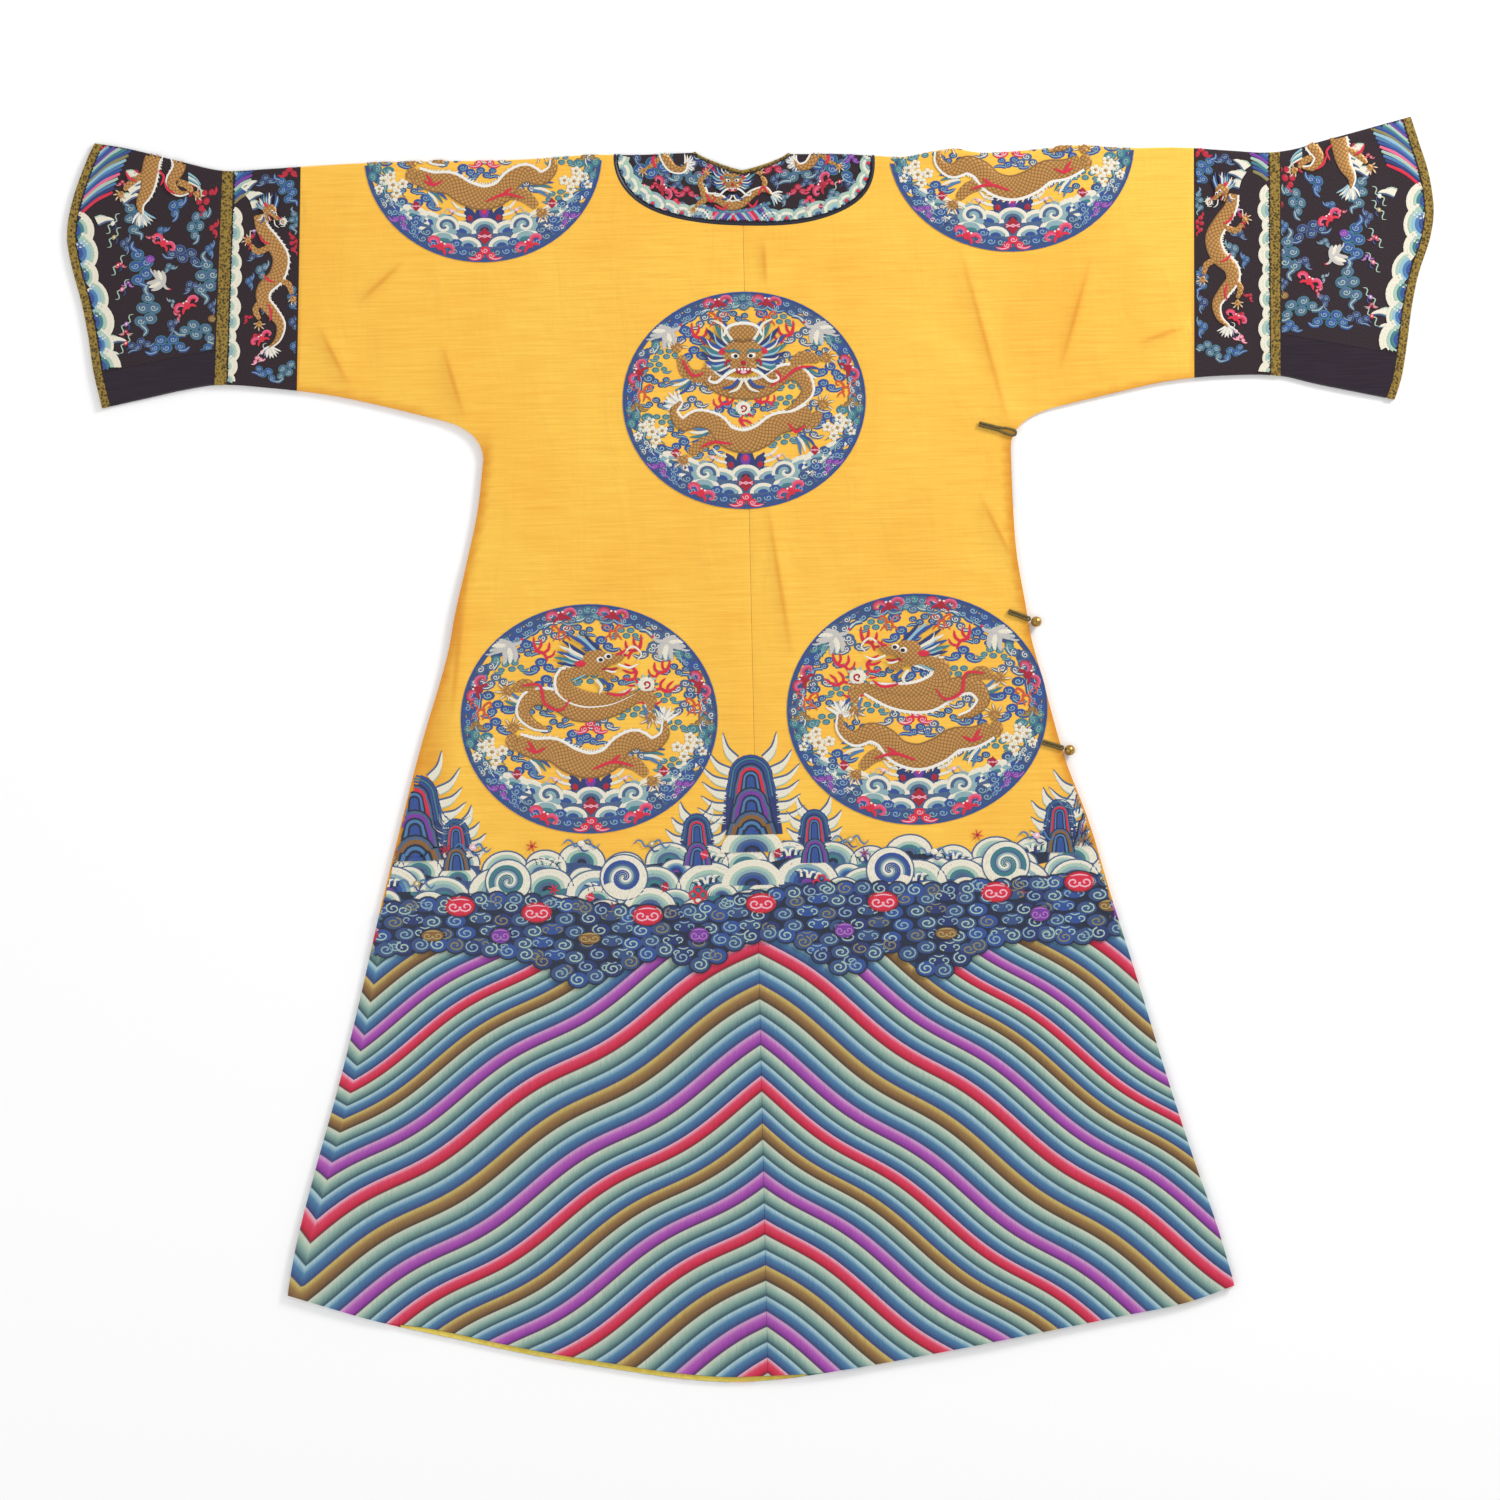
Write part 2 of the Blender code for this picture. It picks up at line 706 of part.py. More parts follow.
def closure(row):
    """A doubled cord sewn to the side, ending in a loop or at a ball button."""
    run = Vector((row.x1 - row.x0, row.drop1 - row.drop0))
    along = run.normalized()
    across = Vector((-along.y, along.x))
    bulge = 1.6 if not row.ball else 0.0
    path = []
    for part in spread(0, 1, 4 / run.length):
        width = strand_offset + bulge * smooth(0.55, 0.85, part)
        path.append((part, width))
    line = [(part, -width) for part, width in path]
    tip = path[-1][1]
    for angle in (-60, -30, 0, 30, 60):
        turn = math.radians(angle)
        line.append((1 + tip * math.cos(turn) / run.length, tip * math.sin(turn)))
    line += [(part, width) for part, width in reversed(path)]
    cord = bpy.data.curves.new(row.name, "CURVE")
    cord.dimensions = "3D"
    cord.bevel_depth = cord_radius * mm
    cord.bevel_resolution = 2
    cord.use_fill_caps = True
    spline = cord.splines.new("POLY")
    spline.points.add(len(line) - 1)
    start = Vector((row.x0, row.drop0))
    level = max(back_height(row.x0 + dx, row.drop0 + dy)
                for dx in (0, 10, 20) for dy in (-6, 0, 10))
    for point, (part, off) in zip(spline.points, line):
        at = start + along * (part * run.length) + across * off
        spot = world((at.x, at.y, level + wall + seam_gap + cord_radius))
        point.co = (*spot, 1)
    add_object(row.name, cord, olive_cord)
    if row.ball:
        reach = run.length + strand_offset + cord_radius + ball_radius + seam_gap
        at = start + along * reach
        mesh = bpy.data.meshes.new(row.name.replace("cord", "ball"))
        work = bmesh.new()
        bmesh.ops.create_uvsphere(work, u_segments=16, v_segments=10,
                                  radius=ball_radius * mm)
        work.to_mesh(mesh)
        work.free()
        mesh.shade_smooth()
        made = add_object(mesh.name, mesh, brass, metallic=1.0, roughness=0.35)
        made.location = world((at.x, at.y, ball_radius + seam_gap))


for side in (-1, 1):
    body(side)
    sleeve(side)
overlap()
hem_lining()
collar()
for row in closure_rows:
    closure(row)
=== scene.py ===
import math
import bpy
import numpy as np
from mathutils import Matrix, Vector
from mathutils.geometry import delaunay_2d_cdt

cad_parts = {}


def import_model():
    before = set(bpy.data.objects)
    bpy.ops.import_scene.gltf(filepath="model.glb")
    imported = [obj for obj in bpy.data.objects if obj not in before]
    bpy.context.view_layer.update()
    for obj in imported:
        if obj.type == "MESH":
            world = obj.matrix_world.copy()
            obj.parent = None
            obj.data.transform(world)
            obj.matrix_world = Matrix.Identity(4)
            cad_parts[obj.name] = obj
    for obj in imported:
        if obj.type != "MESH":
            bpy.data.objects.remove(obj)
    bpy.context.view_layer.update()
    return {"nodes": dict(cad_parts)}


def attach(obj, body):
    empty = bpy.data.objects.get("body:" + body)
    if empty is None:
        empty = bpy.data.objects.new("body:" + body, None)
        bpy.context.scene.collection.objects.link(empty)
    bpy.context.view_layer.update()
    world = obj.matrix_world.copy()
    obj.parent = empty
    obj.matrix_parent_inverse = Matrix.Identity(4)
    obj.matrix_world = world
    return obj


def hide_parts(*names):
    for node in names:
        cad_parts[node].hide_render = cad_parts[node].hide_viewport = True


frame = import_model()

# A silk dragon robe laid face down. Pattern lengths are in millimetres: x from the
# neck, drop down from the shoulder line, "run" measured along the cloth from the fold
# (plus on the back, minus on the front), "lift" above the cloth's outer face.

robe = {
    "wall": 1.5, "gap": 0.3, "neckX": -4.4, "shoulderY": 687.0, "centreX": -4.0,
    "hemPeek": 6.5, "edging": 9.5, "borderWidth": 62.0, "lapHemRise": 22.0,
    "lapInset": 4.0, "billowFade": 45.0, "armpitReach": 360, "armpitDrop": 340,
    "hemLeft": -555, "hemRight": 534,
}
sideName = {-1: "left", 1: "right"}
layer = robe["wall"] + robe["gap"]
foldOuter = robe["wall"] + robe["gap"] / 2
foldInner = robe["gap"] / 2
foldMid = (foldOuter + foldInner) / 2
foldHalf = math.pi / 2 * foldMid
foldRows = [foldHalf * part for part in (-1, -0.5, 0, 0.5, 1)]

# shoulder line: x, drop
topRows = [
    (-748, -33), (-710, -26), (-650, -10), (-600, 2), (-550, 1), (-480, -2),
    (-400, -4), (-300, -3), (-240, -4), (-180, -7), (-120, -6), (-60, -7), (60, -3),
    (110, -2), (150, 1), (185, 3), (212, -2), (240, -5), (270, 0), (330, -2),
    (390, -6), (430, -2), (500, -1), (560, 4), (600, 7), (630, 4), (660, -4),
    (700, -14), (767, -31),
]
# sleeve underside: reach, drop on the left, drop on the right
underRows = [
    (360, 293, 292), (420, 277, 279), (480, 263, 267), (550, 253, 262),
    (610, 248, 264), (650, 253, 274), (690, 261, 283), (745, 272, 295),
]
# side seams: drop, reach on the left, reach on the right
sideRows = [
    (340, 308, 298), (400, 316, 299), (460, 330, 302), (520, 345, 311),
    (560, 353, 317), (610, 368, 330), (640, 378, 337), (700, 396, 353),
    (770, 415, 378), (860, 439, 403), (960, 464, 432), (1060, 491, 460),
    (1160, 521, 490), (1240, 543, 516), (1306, 556, 534),
]
# hem of the outer front: x, drop
hemRows = [
    (-557, 1295), (-520, 1307), (-450, 1329), (-360, 1351), (-270, 1372),
    (-180, 1389), (-110, 1401), (-45, 1407), (20, 1404), (100, 1393), (210, 1375),
    (300, 1359), (400, 1341), (480, 1326), (534, 1308),
]
# ends of the horseshoe cuffs: drop, reach on the left, reach on the right
endRows = [
    (-33, 748, 766), (0, 762, 775), (30, 773, 784), (60, 780, 789), (80, 781, 790),
    (110, 776, 785), (150, 766, 771), (190, 759, 762), (230, 754, 756),
    (272, 745, 748), (295, 741, 740),
]
# seams across the sleeves: reach at the shoulder and at the underside, left then right
seamRows = {
    "band": (511, 521, 516, 511), "trim": (588, 602, 603, 599),
    "cuff": (601, 616, 615, 610),
}
# upper edge of the plain underarm pieces: inner reach, drop, outer reach, drop
gussetRows = {-1: (615, 208, 740, 230), 1: (612, 216, 745, 242)}
# upper edge of the front overlap: x, drop
lapRows = [(-4, 173), (70, 178), (140, 196), (210, 235), (260, 280), (300, 322), (380, 420)]
# creases: x, drop, x, drop, half width, rise
creaseRows = [
    (245, 111, 297, 318, 13, 2.6), (262, 395, 300, 475, 12, 2.2),
    (394, 126, 357, 250, 15, 3.0), (449, 222, 500, 206, 11, 2.4),
    (-493, 187, -462, 250, 12, 3.0), (-446, 156, -396, 112, 13, 2.5),
    (-352, 210, -330, 290, 12, 2.3), (19, 96, 20, 146, 5, 1.9),
    (17, 400, 40, 570, 9, 2.1), (-330, 470, -352, 640, 12, 2.7),
    (8, 1270, 9, 1388, 8, 2.3), (92, 1262, 96, 1384, 9, 2.4),
    (-250, 1180, -268, 1350, 12, 2.1), (330, 1080, 368, 1320, 13, 2.4),
]
# billows: wave along x, wave along drop, phase, rise
billowRows = [(430, 610, 0.6, 0.9), (-270, 820, 2.1, 0.6), (190, -1500, 4.0, 0.4)]
# collar and neck rings: reach left, reach right, depth on the back, depth on the front,
# then how square the curve is: back left, back right, front
rings = {
    "collar": (147, 153, 83, 172, 2.3, 2.6, 2.4),
    "neck": (52, 52, 19.5, 96, 1.2, 1.2, 2.0),
}


def smooth(low, high, value):
    part = np.clip((np.asarray(value, float) - low) / (high - low), 0, 1)
    return part * part * (3 - 2 * part)


def readCurve(rows, column, value):
    # a smooth curve through one column of a table, straight beyond its ends
    table = np.array(rows, float)
    xs, ys = table[:, 0], table[:, column]
    slopes = np.diff(ys) / np.diff(xs)
    tangents = np.concatenate(([slopes[0]], (slopes[:-1] + slopes[1:]) / 2, [slopes[-1]]))
    value = np.asarray(value, float)
    i = np.clip(np.searchsorted(xs, value, side="right") - 1, 0, len(xs) - 2)
    span = xs[i + 1] - xs[i]
    t = (value - xs[i]) / span
    inner = (1 + 2 * t) * (1 - t) ** 2 * ys[i] + t * (1 - t) ** 2 * span * tangents[i]
    inner = inner + t * t * (3 - 2 * t) * ys[i + 1] + t * t * (t - 1) * span * tangents[i + 1]
    low = ys[0] + tangents[0] * (value - xs[0])
    high = ys[-1] + tangents[-1] * (value - xs[-1])
    return np.where(value < xs[0], low, np.where(value > xs[-1], high, inner))


def top(x):
    return readCurve(topRows, 1, x)


def under(x):
    x = np.asarray(x, float)
    return np.where(x < 0, readCurve(underRows, 1, abs(x)), readCurve(underRows, 2, abs(x)))


def sideEdge(side, drop):
    return side * readCurve(sideRows, 1 if side < 0 else 2, drop)


def sleeveEnd(side, drop):
    return side * readCurve(endRows, 1 if side < 0 else 2, drop)


def frontHem(x):
    return readCurve(hemRows, 1, x)


def backHem(x):
    peek = smooth(-470, -380, x) * (1 - smooth(-30, 100, x))
    return frontHem(x) - robe["hemPeek"] * peek


def lapEdge(x):
    return readCurve(lapRows, 1, x)


def seamX(name, side, drop):
    row = seamRows[name]
    high, low = (row[0], row[1]) if side < 0 else (row[2], row[3])
    return side * (high + (low - high) * drop / 260)


def gussetEdge(side, x):
    innerReach, innerDrop, outerReach, outerDrop = gussetRows[side]
    part = (abs(x) - innerReach) / (outerReach - innerReach)
    return innerDrop + (outerDrop - innerDrop) * part


def lapRise(x, drop):
    centre = robe["centreX"]
    above = lapEdge(np.maximum(x, centre)) - drop
    across = np.where(x >= centre, 1.0, smooth(centre - 75, centre - 3, x))
    return layer * (1 - smooth(12, 50, above)) * across


def creaseAway(row, x, drop):
    # how far a place is from a crease, and how far along the crease it lies, 0 to 1
    x0, drop0, x1, drop1 = row[:4]
    runX, runDrop = x1 - x0, drop1 - drop0
    along = np.clip(((x - x0) * runX + (drop - drop0) * runDrop) / (runX ** 2 + runDrop ** 2), 0, 1)
    return np.hypot(x - x0 - along * runX, drop - drop0 - along * runDrop), along


def paintedFoldShade(x, drop):
    # painted shade: the silk's colour is darkened where the cloth turns over a side, along the underside
    # edge of a sleeve and along each sharp crease, where shade falls
    reach = np.where(x > 0, sideEdge(1, drop) - x, x - sideEdge(-1, drop))
    shade = smooth(12, 2.5, reach) * smooth(300, 345, drop) * smooth(850, 800, drop)
    below = smooth(9, 1.5, under(x) - drop) * smooth(340, 380, abs(x))
    shade = np.maximum(shade, 0.7 * below)
    for row in creaseRows:
        away, along = creaseAway(row, x, drop)
        ends = np.sin(math.pi * (0.06 + 0.88 * along))
        shade = np.maximum(shade, 0.75 * ends * np.exp(-(away / 3.6) ** 2))
    return shade


def creaseRise(x, drop):
    rise = np.zeros(np.shape(x))
    for waveX, waveDrop, phase, height in billowRows:
        turn = 2 * math.pi * (x / waveX + drop / waveDrop)
        rise = rise + height * (1 + np.cos(turn + phase)) / 2
    for row in creaseRows:
        away, along = creaseAway(row, x, drop)
        ends = np.sin(math.pi * (0.12 + 0.76 * along))
        rise = rise + row[5] * ends * np.exp(-(away / row[4]) ** 1.5)
    return rise


def backHeight(x, drop):
    edge = smooth(0, robe["billowFade"], drop - top(x))
    return layer + lapRise(x, drop) + edge * creaseRise(x, drop)


def unfold(x, drop, front=False):
    run = foldHalf + drop - top(x) - foldOuter
    return -run if front else run


def lay(x, run, lift, lapped=False):
    # a point of the flat cut laid over the shoulder fold, in metres
    x, run, lift = np.broadcast_arrays(*(np.asarray(v, float) for v in (x, run, lift)))
    radius = np.maximum(foldOuter + lift, foldInner)
    line = top(x) + foldOuter
    angle = np.clip(run / foldMid, -math.pi / 2, math.pi / 2)
    drop = line - radius * np.cos(angle) + np.maximum(abs(run) - foldHalf, 0)
    low = lapRise(x, drop) if lapped else 0.0
    back = backHeight(x, drop) + robe["wall"] + lift
    z = np.where(run > foldHalf, back, np.where(run < -foldHalf, low - lift,
        foldOuter + radius * np.sin(angle)))
    return world(x, drop, z)


def layUnder(x, run, lift, lapped=False):
    # the same for a cut folded along the underside of the sleeve
    x, run, lift = np.broadcast_arrays(*(np.asarray(v, float) for v in (x, run, lift)))
    radius = np.maximum(foldOuter + lift, foldInner)
    angle = np.clip(run / foldMid, -math.pi / 2, math.pi / 2)
    drop = under(x) - foldOuter + radius * np.cos(angle) - np.maximum(abs(run) - foldHalf, 0)
    back = backHeight(x, drop) + robe["wall"] + lift
    z = np.where(run > foldHalf, back, np.where(run < -foldHalf, -lift, foldOuter + radius * np.sin(angle)))
    return world(x, drop, z)


def layFlat(x, drop, lift, lapped=False):
    # a piece of the outer front, flat on the surface, with its outer face down
    x, drop, lift = np.broadcast_arrays(*(np.asarray(v, float) for v in (x, drop, lift)))
    return world(x, drop, -lift)


def world(x, drop, z):
    return np.stack([x + robe["neckX"], robe["shoulderY"] - drop, z], axis=-1) * 0.001


# colours and materials

def hexTint(code):
    parts = [int(code[i:i + 2], 16) / 255 for i in (1, 3, 5)]
    return tuple(p / 12.92 if p <= 0.04045 else ((p + 0.055) / 1.055) ** 2.4 for p in parts)


silk = {   # thread colours, sRGB
    "navy": "#27366f", "deep": "#2d4f96", "mid": "#4b7cae", "pale": "#95bfce",
    "celadon": "#adc9b6", "teal": "#3c7c86", "ivory": "#efe8d3", "white": "#f4f1e8",
    "grey": "#cbc6c0", "red": "#dc2340", "crimson": "#ad1430", "pink": "#ec6a91",
    "rose": "#f6bccb", "purple": "#7a389f", "lilac": "#b679c4", "gold": "#b98a50",
    "bronze": "#8a6030", "black": "#17121a", "orange": "#d9532c",
    "olive": "#8d8557", "straw": "#b9a468", "night": "#1b2740", "slate": "#4a6488",
    "dusk": "#364f80", "mist": "#8fb0b4",
}
thread = {name: hexTint(code) for name, code in silk.items()}


def addNode(tree, kind, inputs=None, out=0, stops=(), **settings):
    # one node with its settings: an input is linked where it is given a socket, and a
    # colour may be its hex code; stops are the colours of a ramp
    made = tree.nodes.new("ShaderNode" + kind)
    for key, value in settings.items():
        setattr(made, key, value)
    for key, value in (inputs or {}).items():
        if isinstance(value, bpy.types.NodeSocket):
            tree.links.new(value, made.inputs[key])
        else:
            made.inputs[key].default_value = (*hexTint(value), 1) if isinstance(value, str) else value
    for index, (place, code) in enumerate(stops):
        marks = made.color_ramp.elements
        mark = marks[index] if index < 2 else marks.new(place)
        mark.position = place
        mark.color = (*hexTint(code), 1)
    return made.outputs[out]


def newMaterial(name, roughness, sheen=0.0, metallic=0.0, specular=0.5):
    made = bpy.data.materials.new(name)
    made.use_nodes = True
    shader = made.node_tree.nodes["Principled BSDF"]
    for key, value in {"Roughness": roughness, "Metallic": metallic, "Sheen Weight": sheen,
            "Sheen Roughness": 0.4, "Specular IOR Level": specular}.items():
        shader.inputs[key].default_value = value
    return made, made.node_tree, shader


def coverWith(tree, shader, tint, height=None, strength=0.0, distance=0.0, **under):
    # the colour of a surface and its relief, the distance in metres
    tree.links.new(tint, shader.inputs["Base Color"])
    if height:
        relief = {"Height": height, "Strength": strength, "Distance": distance, **under}
        tree.links.new(addNode(tree, "Bump", relief), shader.inputs["Normal"])


# the wave-striped hem: one cycle is nine embroidered stripes, each shaded from a pale
# upper edge to a dark lower one. The stripes fall away from the middle at a mean slope,
# with a swell whose crests drift inwards from stripe to stripe.
stripes = {
    "tops": [(756, -9), (897, 0), (1055, 9), (1220, 18), (1379, 27), (1540, 36)],
    "slope": {-1: 0.62, 1: 0.745}, "swell": {-1: 205.0, 1: 185.0}, "pitch": (15.7, 17.8),
    "swing": 0.2, "drift": 0.53, "firstCrest": 18.0, "start": 860.0, "bare": -200.0,
    "seamInset": [(800, 4), (880, 9), (1000, 15), (1150, 17), (1300, 15)],
    "order": ["red", "celadon", "blue", "gold", "celadon", "blue", "purple", "celadon", "blue"],
    "shades": {
        "red": [(0.05, "#f0b3c2"), (0.3, "#ec4468"), (0.78, "#d3163c"), (0.97, "#6f1834")],
        "gold": [(0.05, "#d9bf68"), (0.4, "#a27c47"), (0.8, "#775533"), (0.97, "#453526")],
        "purple": [(0.05, "#dba6d0"), (0.35, "#bd5cbd"), (0.78, "#9636a4"), (0.97, "#4a2858")],
        "celadon": [(0.05, "#d8dfc8"), (0.45, "#94b8aa"), (0.95, "#234f60")],
        "blue": [(0.05, "#b9dade"), (0.4, "#4f86ae"), (0.95, "#33427c")],
    },
}


def stripeCount(x, drop):
    # how many stripes lie above a place of the skirt
    side = np.where(x < robe["centreX"], -1, 1)
    slope = np.where(side < 0, stripes["slope"][-1], stripes["slope"][1])
    swell = np.where(side < 0, stripes["swell"][-1], stripes["swell"][1])
    reach = abs(x - robe["centreX"])
    tops = np.array(stripes["tops"], float)
    level = drop - slope * reach
    for _ in range(5):
        crest = stripes["drift"] * (level - tops[1, 0]) - stripes["firstCrest"]
        wave = np.sin(2 * math.pi * (reach + crest) / swell) - np.sin(2 * math.pi * crest / swell)
        level = drop - slope * reach + stripes["swing"] * swell / (2 * math.pi) * wave
    high = tops[-1, 1] + (level - tops[-1, 0]) / stripes["pitch"][1]
    low = tops[0, 1] + (level - tops[0, 0]) / stripes["pitch"][0]
    inner = np.interp(level, tops[:, 0], tops[:, 1])
    return np.where(level < tops[0, 0], low, np.where(level > tops[-1, 0], high, inner))


def leftSeam(drop):
    return sideEdge(-1, drop) + np.interp(drop, *zip(*stripes["seamInset"]))


def yellowSilkMaterial():
    # plain-woven slubbed silk: a soft satin lustre, faint weft bars, no hard shine;
    # below the cloud band the same cloth is covered in shaded satin-stitch stripes
    made, tree, shader = newMaterial("slubbedYellowSilk", 0.52, sheen=0.25, specular=0.35)
    rgba = {"data_type": "RGBA", "out": 2}
    place = addNode(tree, "TexCoord", out="Object")
    # weft slubs: long thin bars across the robe, about 1.5 mm high, over finer warp lines
    weft = addNode(tree, "Mapping", {"Vector": place, "Scale": (14.0, 420.0, 1.0)})
    slub = addNode(tree, "TexNoise", {"Vector": weft, "Scale": 1.0, "Detail": 4.0, "Roughness": 0.65})
    warp = addNode(tree, "Mapping", {"Vector": place, "Scale": (420.0, 7.0, 1.0)})
    fine = addNode(tree, "TexNoise", {"Vector": warp, "Scale": 1.0, "Detail": 3.0, "Roughness": 0.6})
    cloudy = addNode(tree, "TexNoise", {"Vector": place, "Scale": 7.0, "Detail": 3.0})
    light = addNode(tree, "ValToRGB", {0: slub}, stops=[(0.30, "#ecb33f"), (0.5, "#f3bf45"),
        (0.72, "#f9ca52")])
    tone = addNode(tree, "ValToRGB", {0: cloudy}, stops=[(0.32, "#f4b848"), (0.62, "#ffffff")])
    yellow = addNode(tree, "Mix", {0: 0.22, 6: light, 7: tone}, blend_type="MULTIPLY", **rgba)
    lines = addNode(tree, "Math", {0: fine, 1: 0.16}, operation="MULTIPLY")
    yellow = addNode(tree, "Mix", {0: lines, 6: yellow, 7: "#e6a632"}, **rgba)
    # painted shade: the fold-shade attribute darkens the yellow towards #e2c288 at the turned sides, under
    # the sleeves and along the creases
    shade = addNode(tree, "Attribute", out="Fac", attribute_name="paintedFoldShade")
    yellow = addNode(tree, "Mix", {0: shade, 6: yellow, 7: "#e2c288"}, blend_type="MULTIPLY", **rgba)
    # satin stitch: threads lie across each stripe, about 0.5 mm apart, drawn 0.9 mm to show
    spot = addNode(tree, "UVMap", uv_map="stitches")
    count = addNode(tree, "SeparateXYZ", {0: spot}, out=1)
    cycle = addNode(tree, "Math", {0: count, 1: len(stripes["order"])}, operation="DIVIDE")
    cycle = addNode(tree, "Math", {0: cycle}, operation="FRACT")
    shades = [((index + spotInStripe) / len(stripes["order"]), code)
        for index, name in enumerate(stripes["order"]) for spotInStripe, code in stripes["shades"][name]]
    colours = addNode(tree, "ValToRGB", {0: cycle}, stops=shades)
    combed = addNode(tree, "Mapping", {"Vector": spot, "Scale": (1.1, 1.2, 1.0)})
    stitch = addNode(tree, "TexNoise", {"Vector": combed, "Scale": 1.0, "Detail": 2.0})
    faint = addNode(tree, "Math", {0: stitch, 1: 0.5}, operation="MULTIPLY")
    stitched = addNode(tree, "Mix", {0: faint, 6: colours, 7: "#3b3f5c"}, blend_type="MULTIPLY", **rgba)
    covered = addNode(tree, "Math", {0: count, 1: -60.0}, operation="GREATER_THAN")
    tint = addNode(tree, "Mix", {0: covered, 6: yellow, 7: stitched}, **rgba)
    # the relief: the weave on bare cloth, a low dome of thread on each stripe
    warpRise = addNode(tree, "Math", {0: fine, 1: 0.3}, operation="MULTIPLY")
    weave = addNode(tree, "Math", {0: slub, 1: 0.5, 2: warpRise}, operation="MULTIPLY_ADD")
    half = addNode(tree, "Math", {0: addNode(tree, "Math", {0: count}, operation="FRACT"), 1: math.pi},
        operation="MULTIPLY")
    dome = addNode(tree, "Math", {0: half}, operation="SINE")
    thickness = addNode(tree, "Math", {0: stitch, 1: 0.6}, operation="MULTIPLY")
    padded = addNode(tree, "Math", {0: dome, 1: 1.5, 2: thickness}, operation="MULTIPLY_ADD")
    raised = addNode(tree, "Mix", {0: covered, 2: weave, 3: padded})
    # soft rumples some 40 mm apart, under the weave and the stitches
    bent = addNode(tree, "Mapping", {"Vector": place, "Scale": (24.0, 10.0, 1.0), "Rotation": (0, 0, 0.4)})
    rumple = addNode(tree, "TexNoise", {"Vector": bent, "Scale": 1.0, "Detail": 3.0, "Distortion": 0.8})
    soft = addNode(tree, "Bump", {"Height": rumple, "Strength": 0.3, "Distance": 0.006})
    coverWith(tree, shader, tint, raised, 0.35, 0.0009, Normal=soft)
    return made


def brocadeMaterial():
    # woven ribbon: gilt strips floated over black silk in a small all-over figure, 2 mm
    made, tree, shader = newMaterial("giltBrocadeRibbon", 0.5, metallic=0.15, specular=0.4)
    place = addNode(tree, "TexCoord", out="Object")
    cell = addNode(tree, "TexVoronoi", {"Vector": place, "Scale": 330.0, "Randomness": 0.9})
    wisp = addNode(tree, "TexNoise", {"Vector": place, "Scale": 230.0, "Detail": 3.0})
    cloudy = addNode(tree, "Math", {0: wisp, 1: 0.6}, operation="MULTIPLY")
    figure = addNode(tree, "Math", {0: cell, 1: 0.8, 2: cloudy}, operation="MULTIPLY_ADD")
    tone = addNode(tree, "ValToRGB", {0: figure}, stops=[(0.4, "#231a0c"), (0.56, "#5d4817"),
        (0.8, "#94792f")])
    coverWith(tree, shader, tone, figure, 0.5, 0.0006)
    return made


def satinStitchMaterial():
    # floss silk in satin stitch: the dyed thread's colour, combed across each shape,
    # with the bright soft lustre of untwisted silk
    made, tree, shader = newMaterial("satinStitchFloss", 0.45, sheen=0.2, specular=0.45)
    dye = addNode(tree, "VertexColor", layer_name="threadTint")
    spot = addNode(tree, "UVMap", uv_map="stitches")
    comb = addNode(tree, "Mapping", {"Vector": spot, "Scale": (1.6, 0.16, 1.0)})
    floss = addNode(tree, "TexNoise", {"Vector": comb, "Scale": 1.0, "Detail": 2.0})
    shade = addNode(tree, "ValToRGB", {0: floss}, stops=[(0.32, "#ceced1"), (0.68, "#ffffff")])
    tint = addNode(tree, "Mix", {0: 0.8, 6: dye, 7: shade}, out=2, data_type="RGBA", blend_type="MULTIPLY")
    coverWith(tree, shader, tint, floss, 0.4, 0.0004)
    return made


def couchedGoldMaterial():
    # gilt paper thread couched down in pairs, with brown couching stitches that draw
    # a lattice of scales about 4.5 mm wide
    made, tree, shader = newMaterial("couchedGoldThread", 0.42, metallic=0.3, specular=0.5)
    split = addNode(tree, "SeparateXYZ", {0: addNode(tree, "UVMap", uv_map="stitches")}).node
    u, v = split.outputs[0], split.outputs[1]
    scaleSize = 5.4
    away = []
    for way in ("ADD", "SUBTRACT"):
        slant = addNode(tree, "Math", {0: addNode(tree, "Math", {0: u, 1: v}, operation=way), 1: scaleSize},
            operation="DIVIDE")
        part = addNode(tree, "Math", {0: slant}, operation="FRACT")
        off = addNode(tree, "Math", {0: part, 1: 0.5}, operation="SUBTRACT")
        away.append(addNode(tree, "Math", {0: off}, operation="ABSOLUTE"))
    edge = addNode(tree, "Math", {0: away[0], 1: away[1]}, operation="MAXIMUM")
    tone = addNode(tree, "ValToRGB", {0: edge}, stops=[(0.0, "#cf9f5c"), (0.36, "#bb8847"),
        (0.47, "#84572c")])
    wave = addNode(tree, "Math", {0: v, 1: 7.0}, operation="MULTIPLY")
    strand = addNode(tree, "Math", {0: addNode(tree, "Math", {0: wave}, operation="SINE"), 1: 0.08,
        2: 0.08}, operation="MULTIPLY_ADD")
    tint = addNode(tree, "Mix", {0: strand, 6: tone, 7: "#6e4a22"}, out=2, data_type="RGBA")
    coverWith(tree, shader, tint, addNode(tree, "Math", {0: 0.5, 1: edge}, operation="SUBTRACT"), 0.5,
        0.0005)
    return made


def plainMaterial(name, roughness, grain, detail, tones, relief=(), **finish):
    # one colour with a fine grain, whose scales are per metre across, down and through
    made, tree, shader = newMaterial(name, roughness, **finish)
    place = addNode(tree, "Mapping", {"Vector": addNode(tree, "TexCoord", out="Object"), "Scale": grain})
    noise = addNode(tree, "TexNoise", {"Vector": place, "Scale": 1.0, "Detail": detail})
    tone = addNode(tree, "ValToRGB", {0: noise}, stops=tones)
    coverWith(tree, shader, tone, *((noise, *relief) if relief else ()))
    if finish.get("metallic"):   # a cast metal is duller where its grain stands high
        dull = addNode(tree, "Math", {0: noise, 1: 0.3, 2: 0.2}, operation="MULTIPLY_ADD")
        tree.links.new(dull, shader.inputs["Roughness"])
    return made


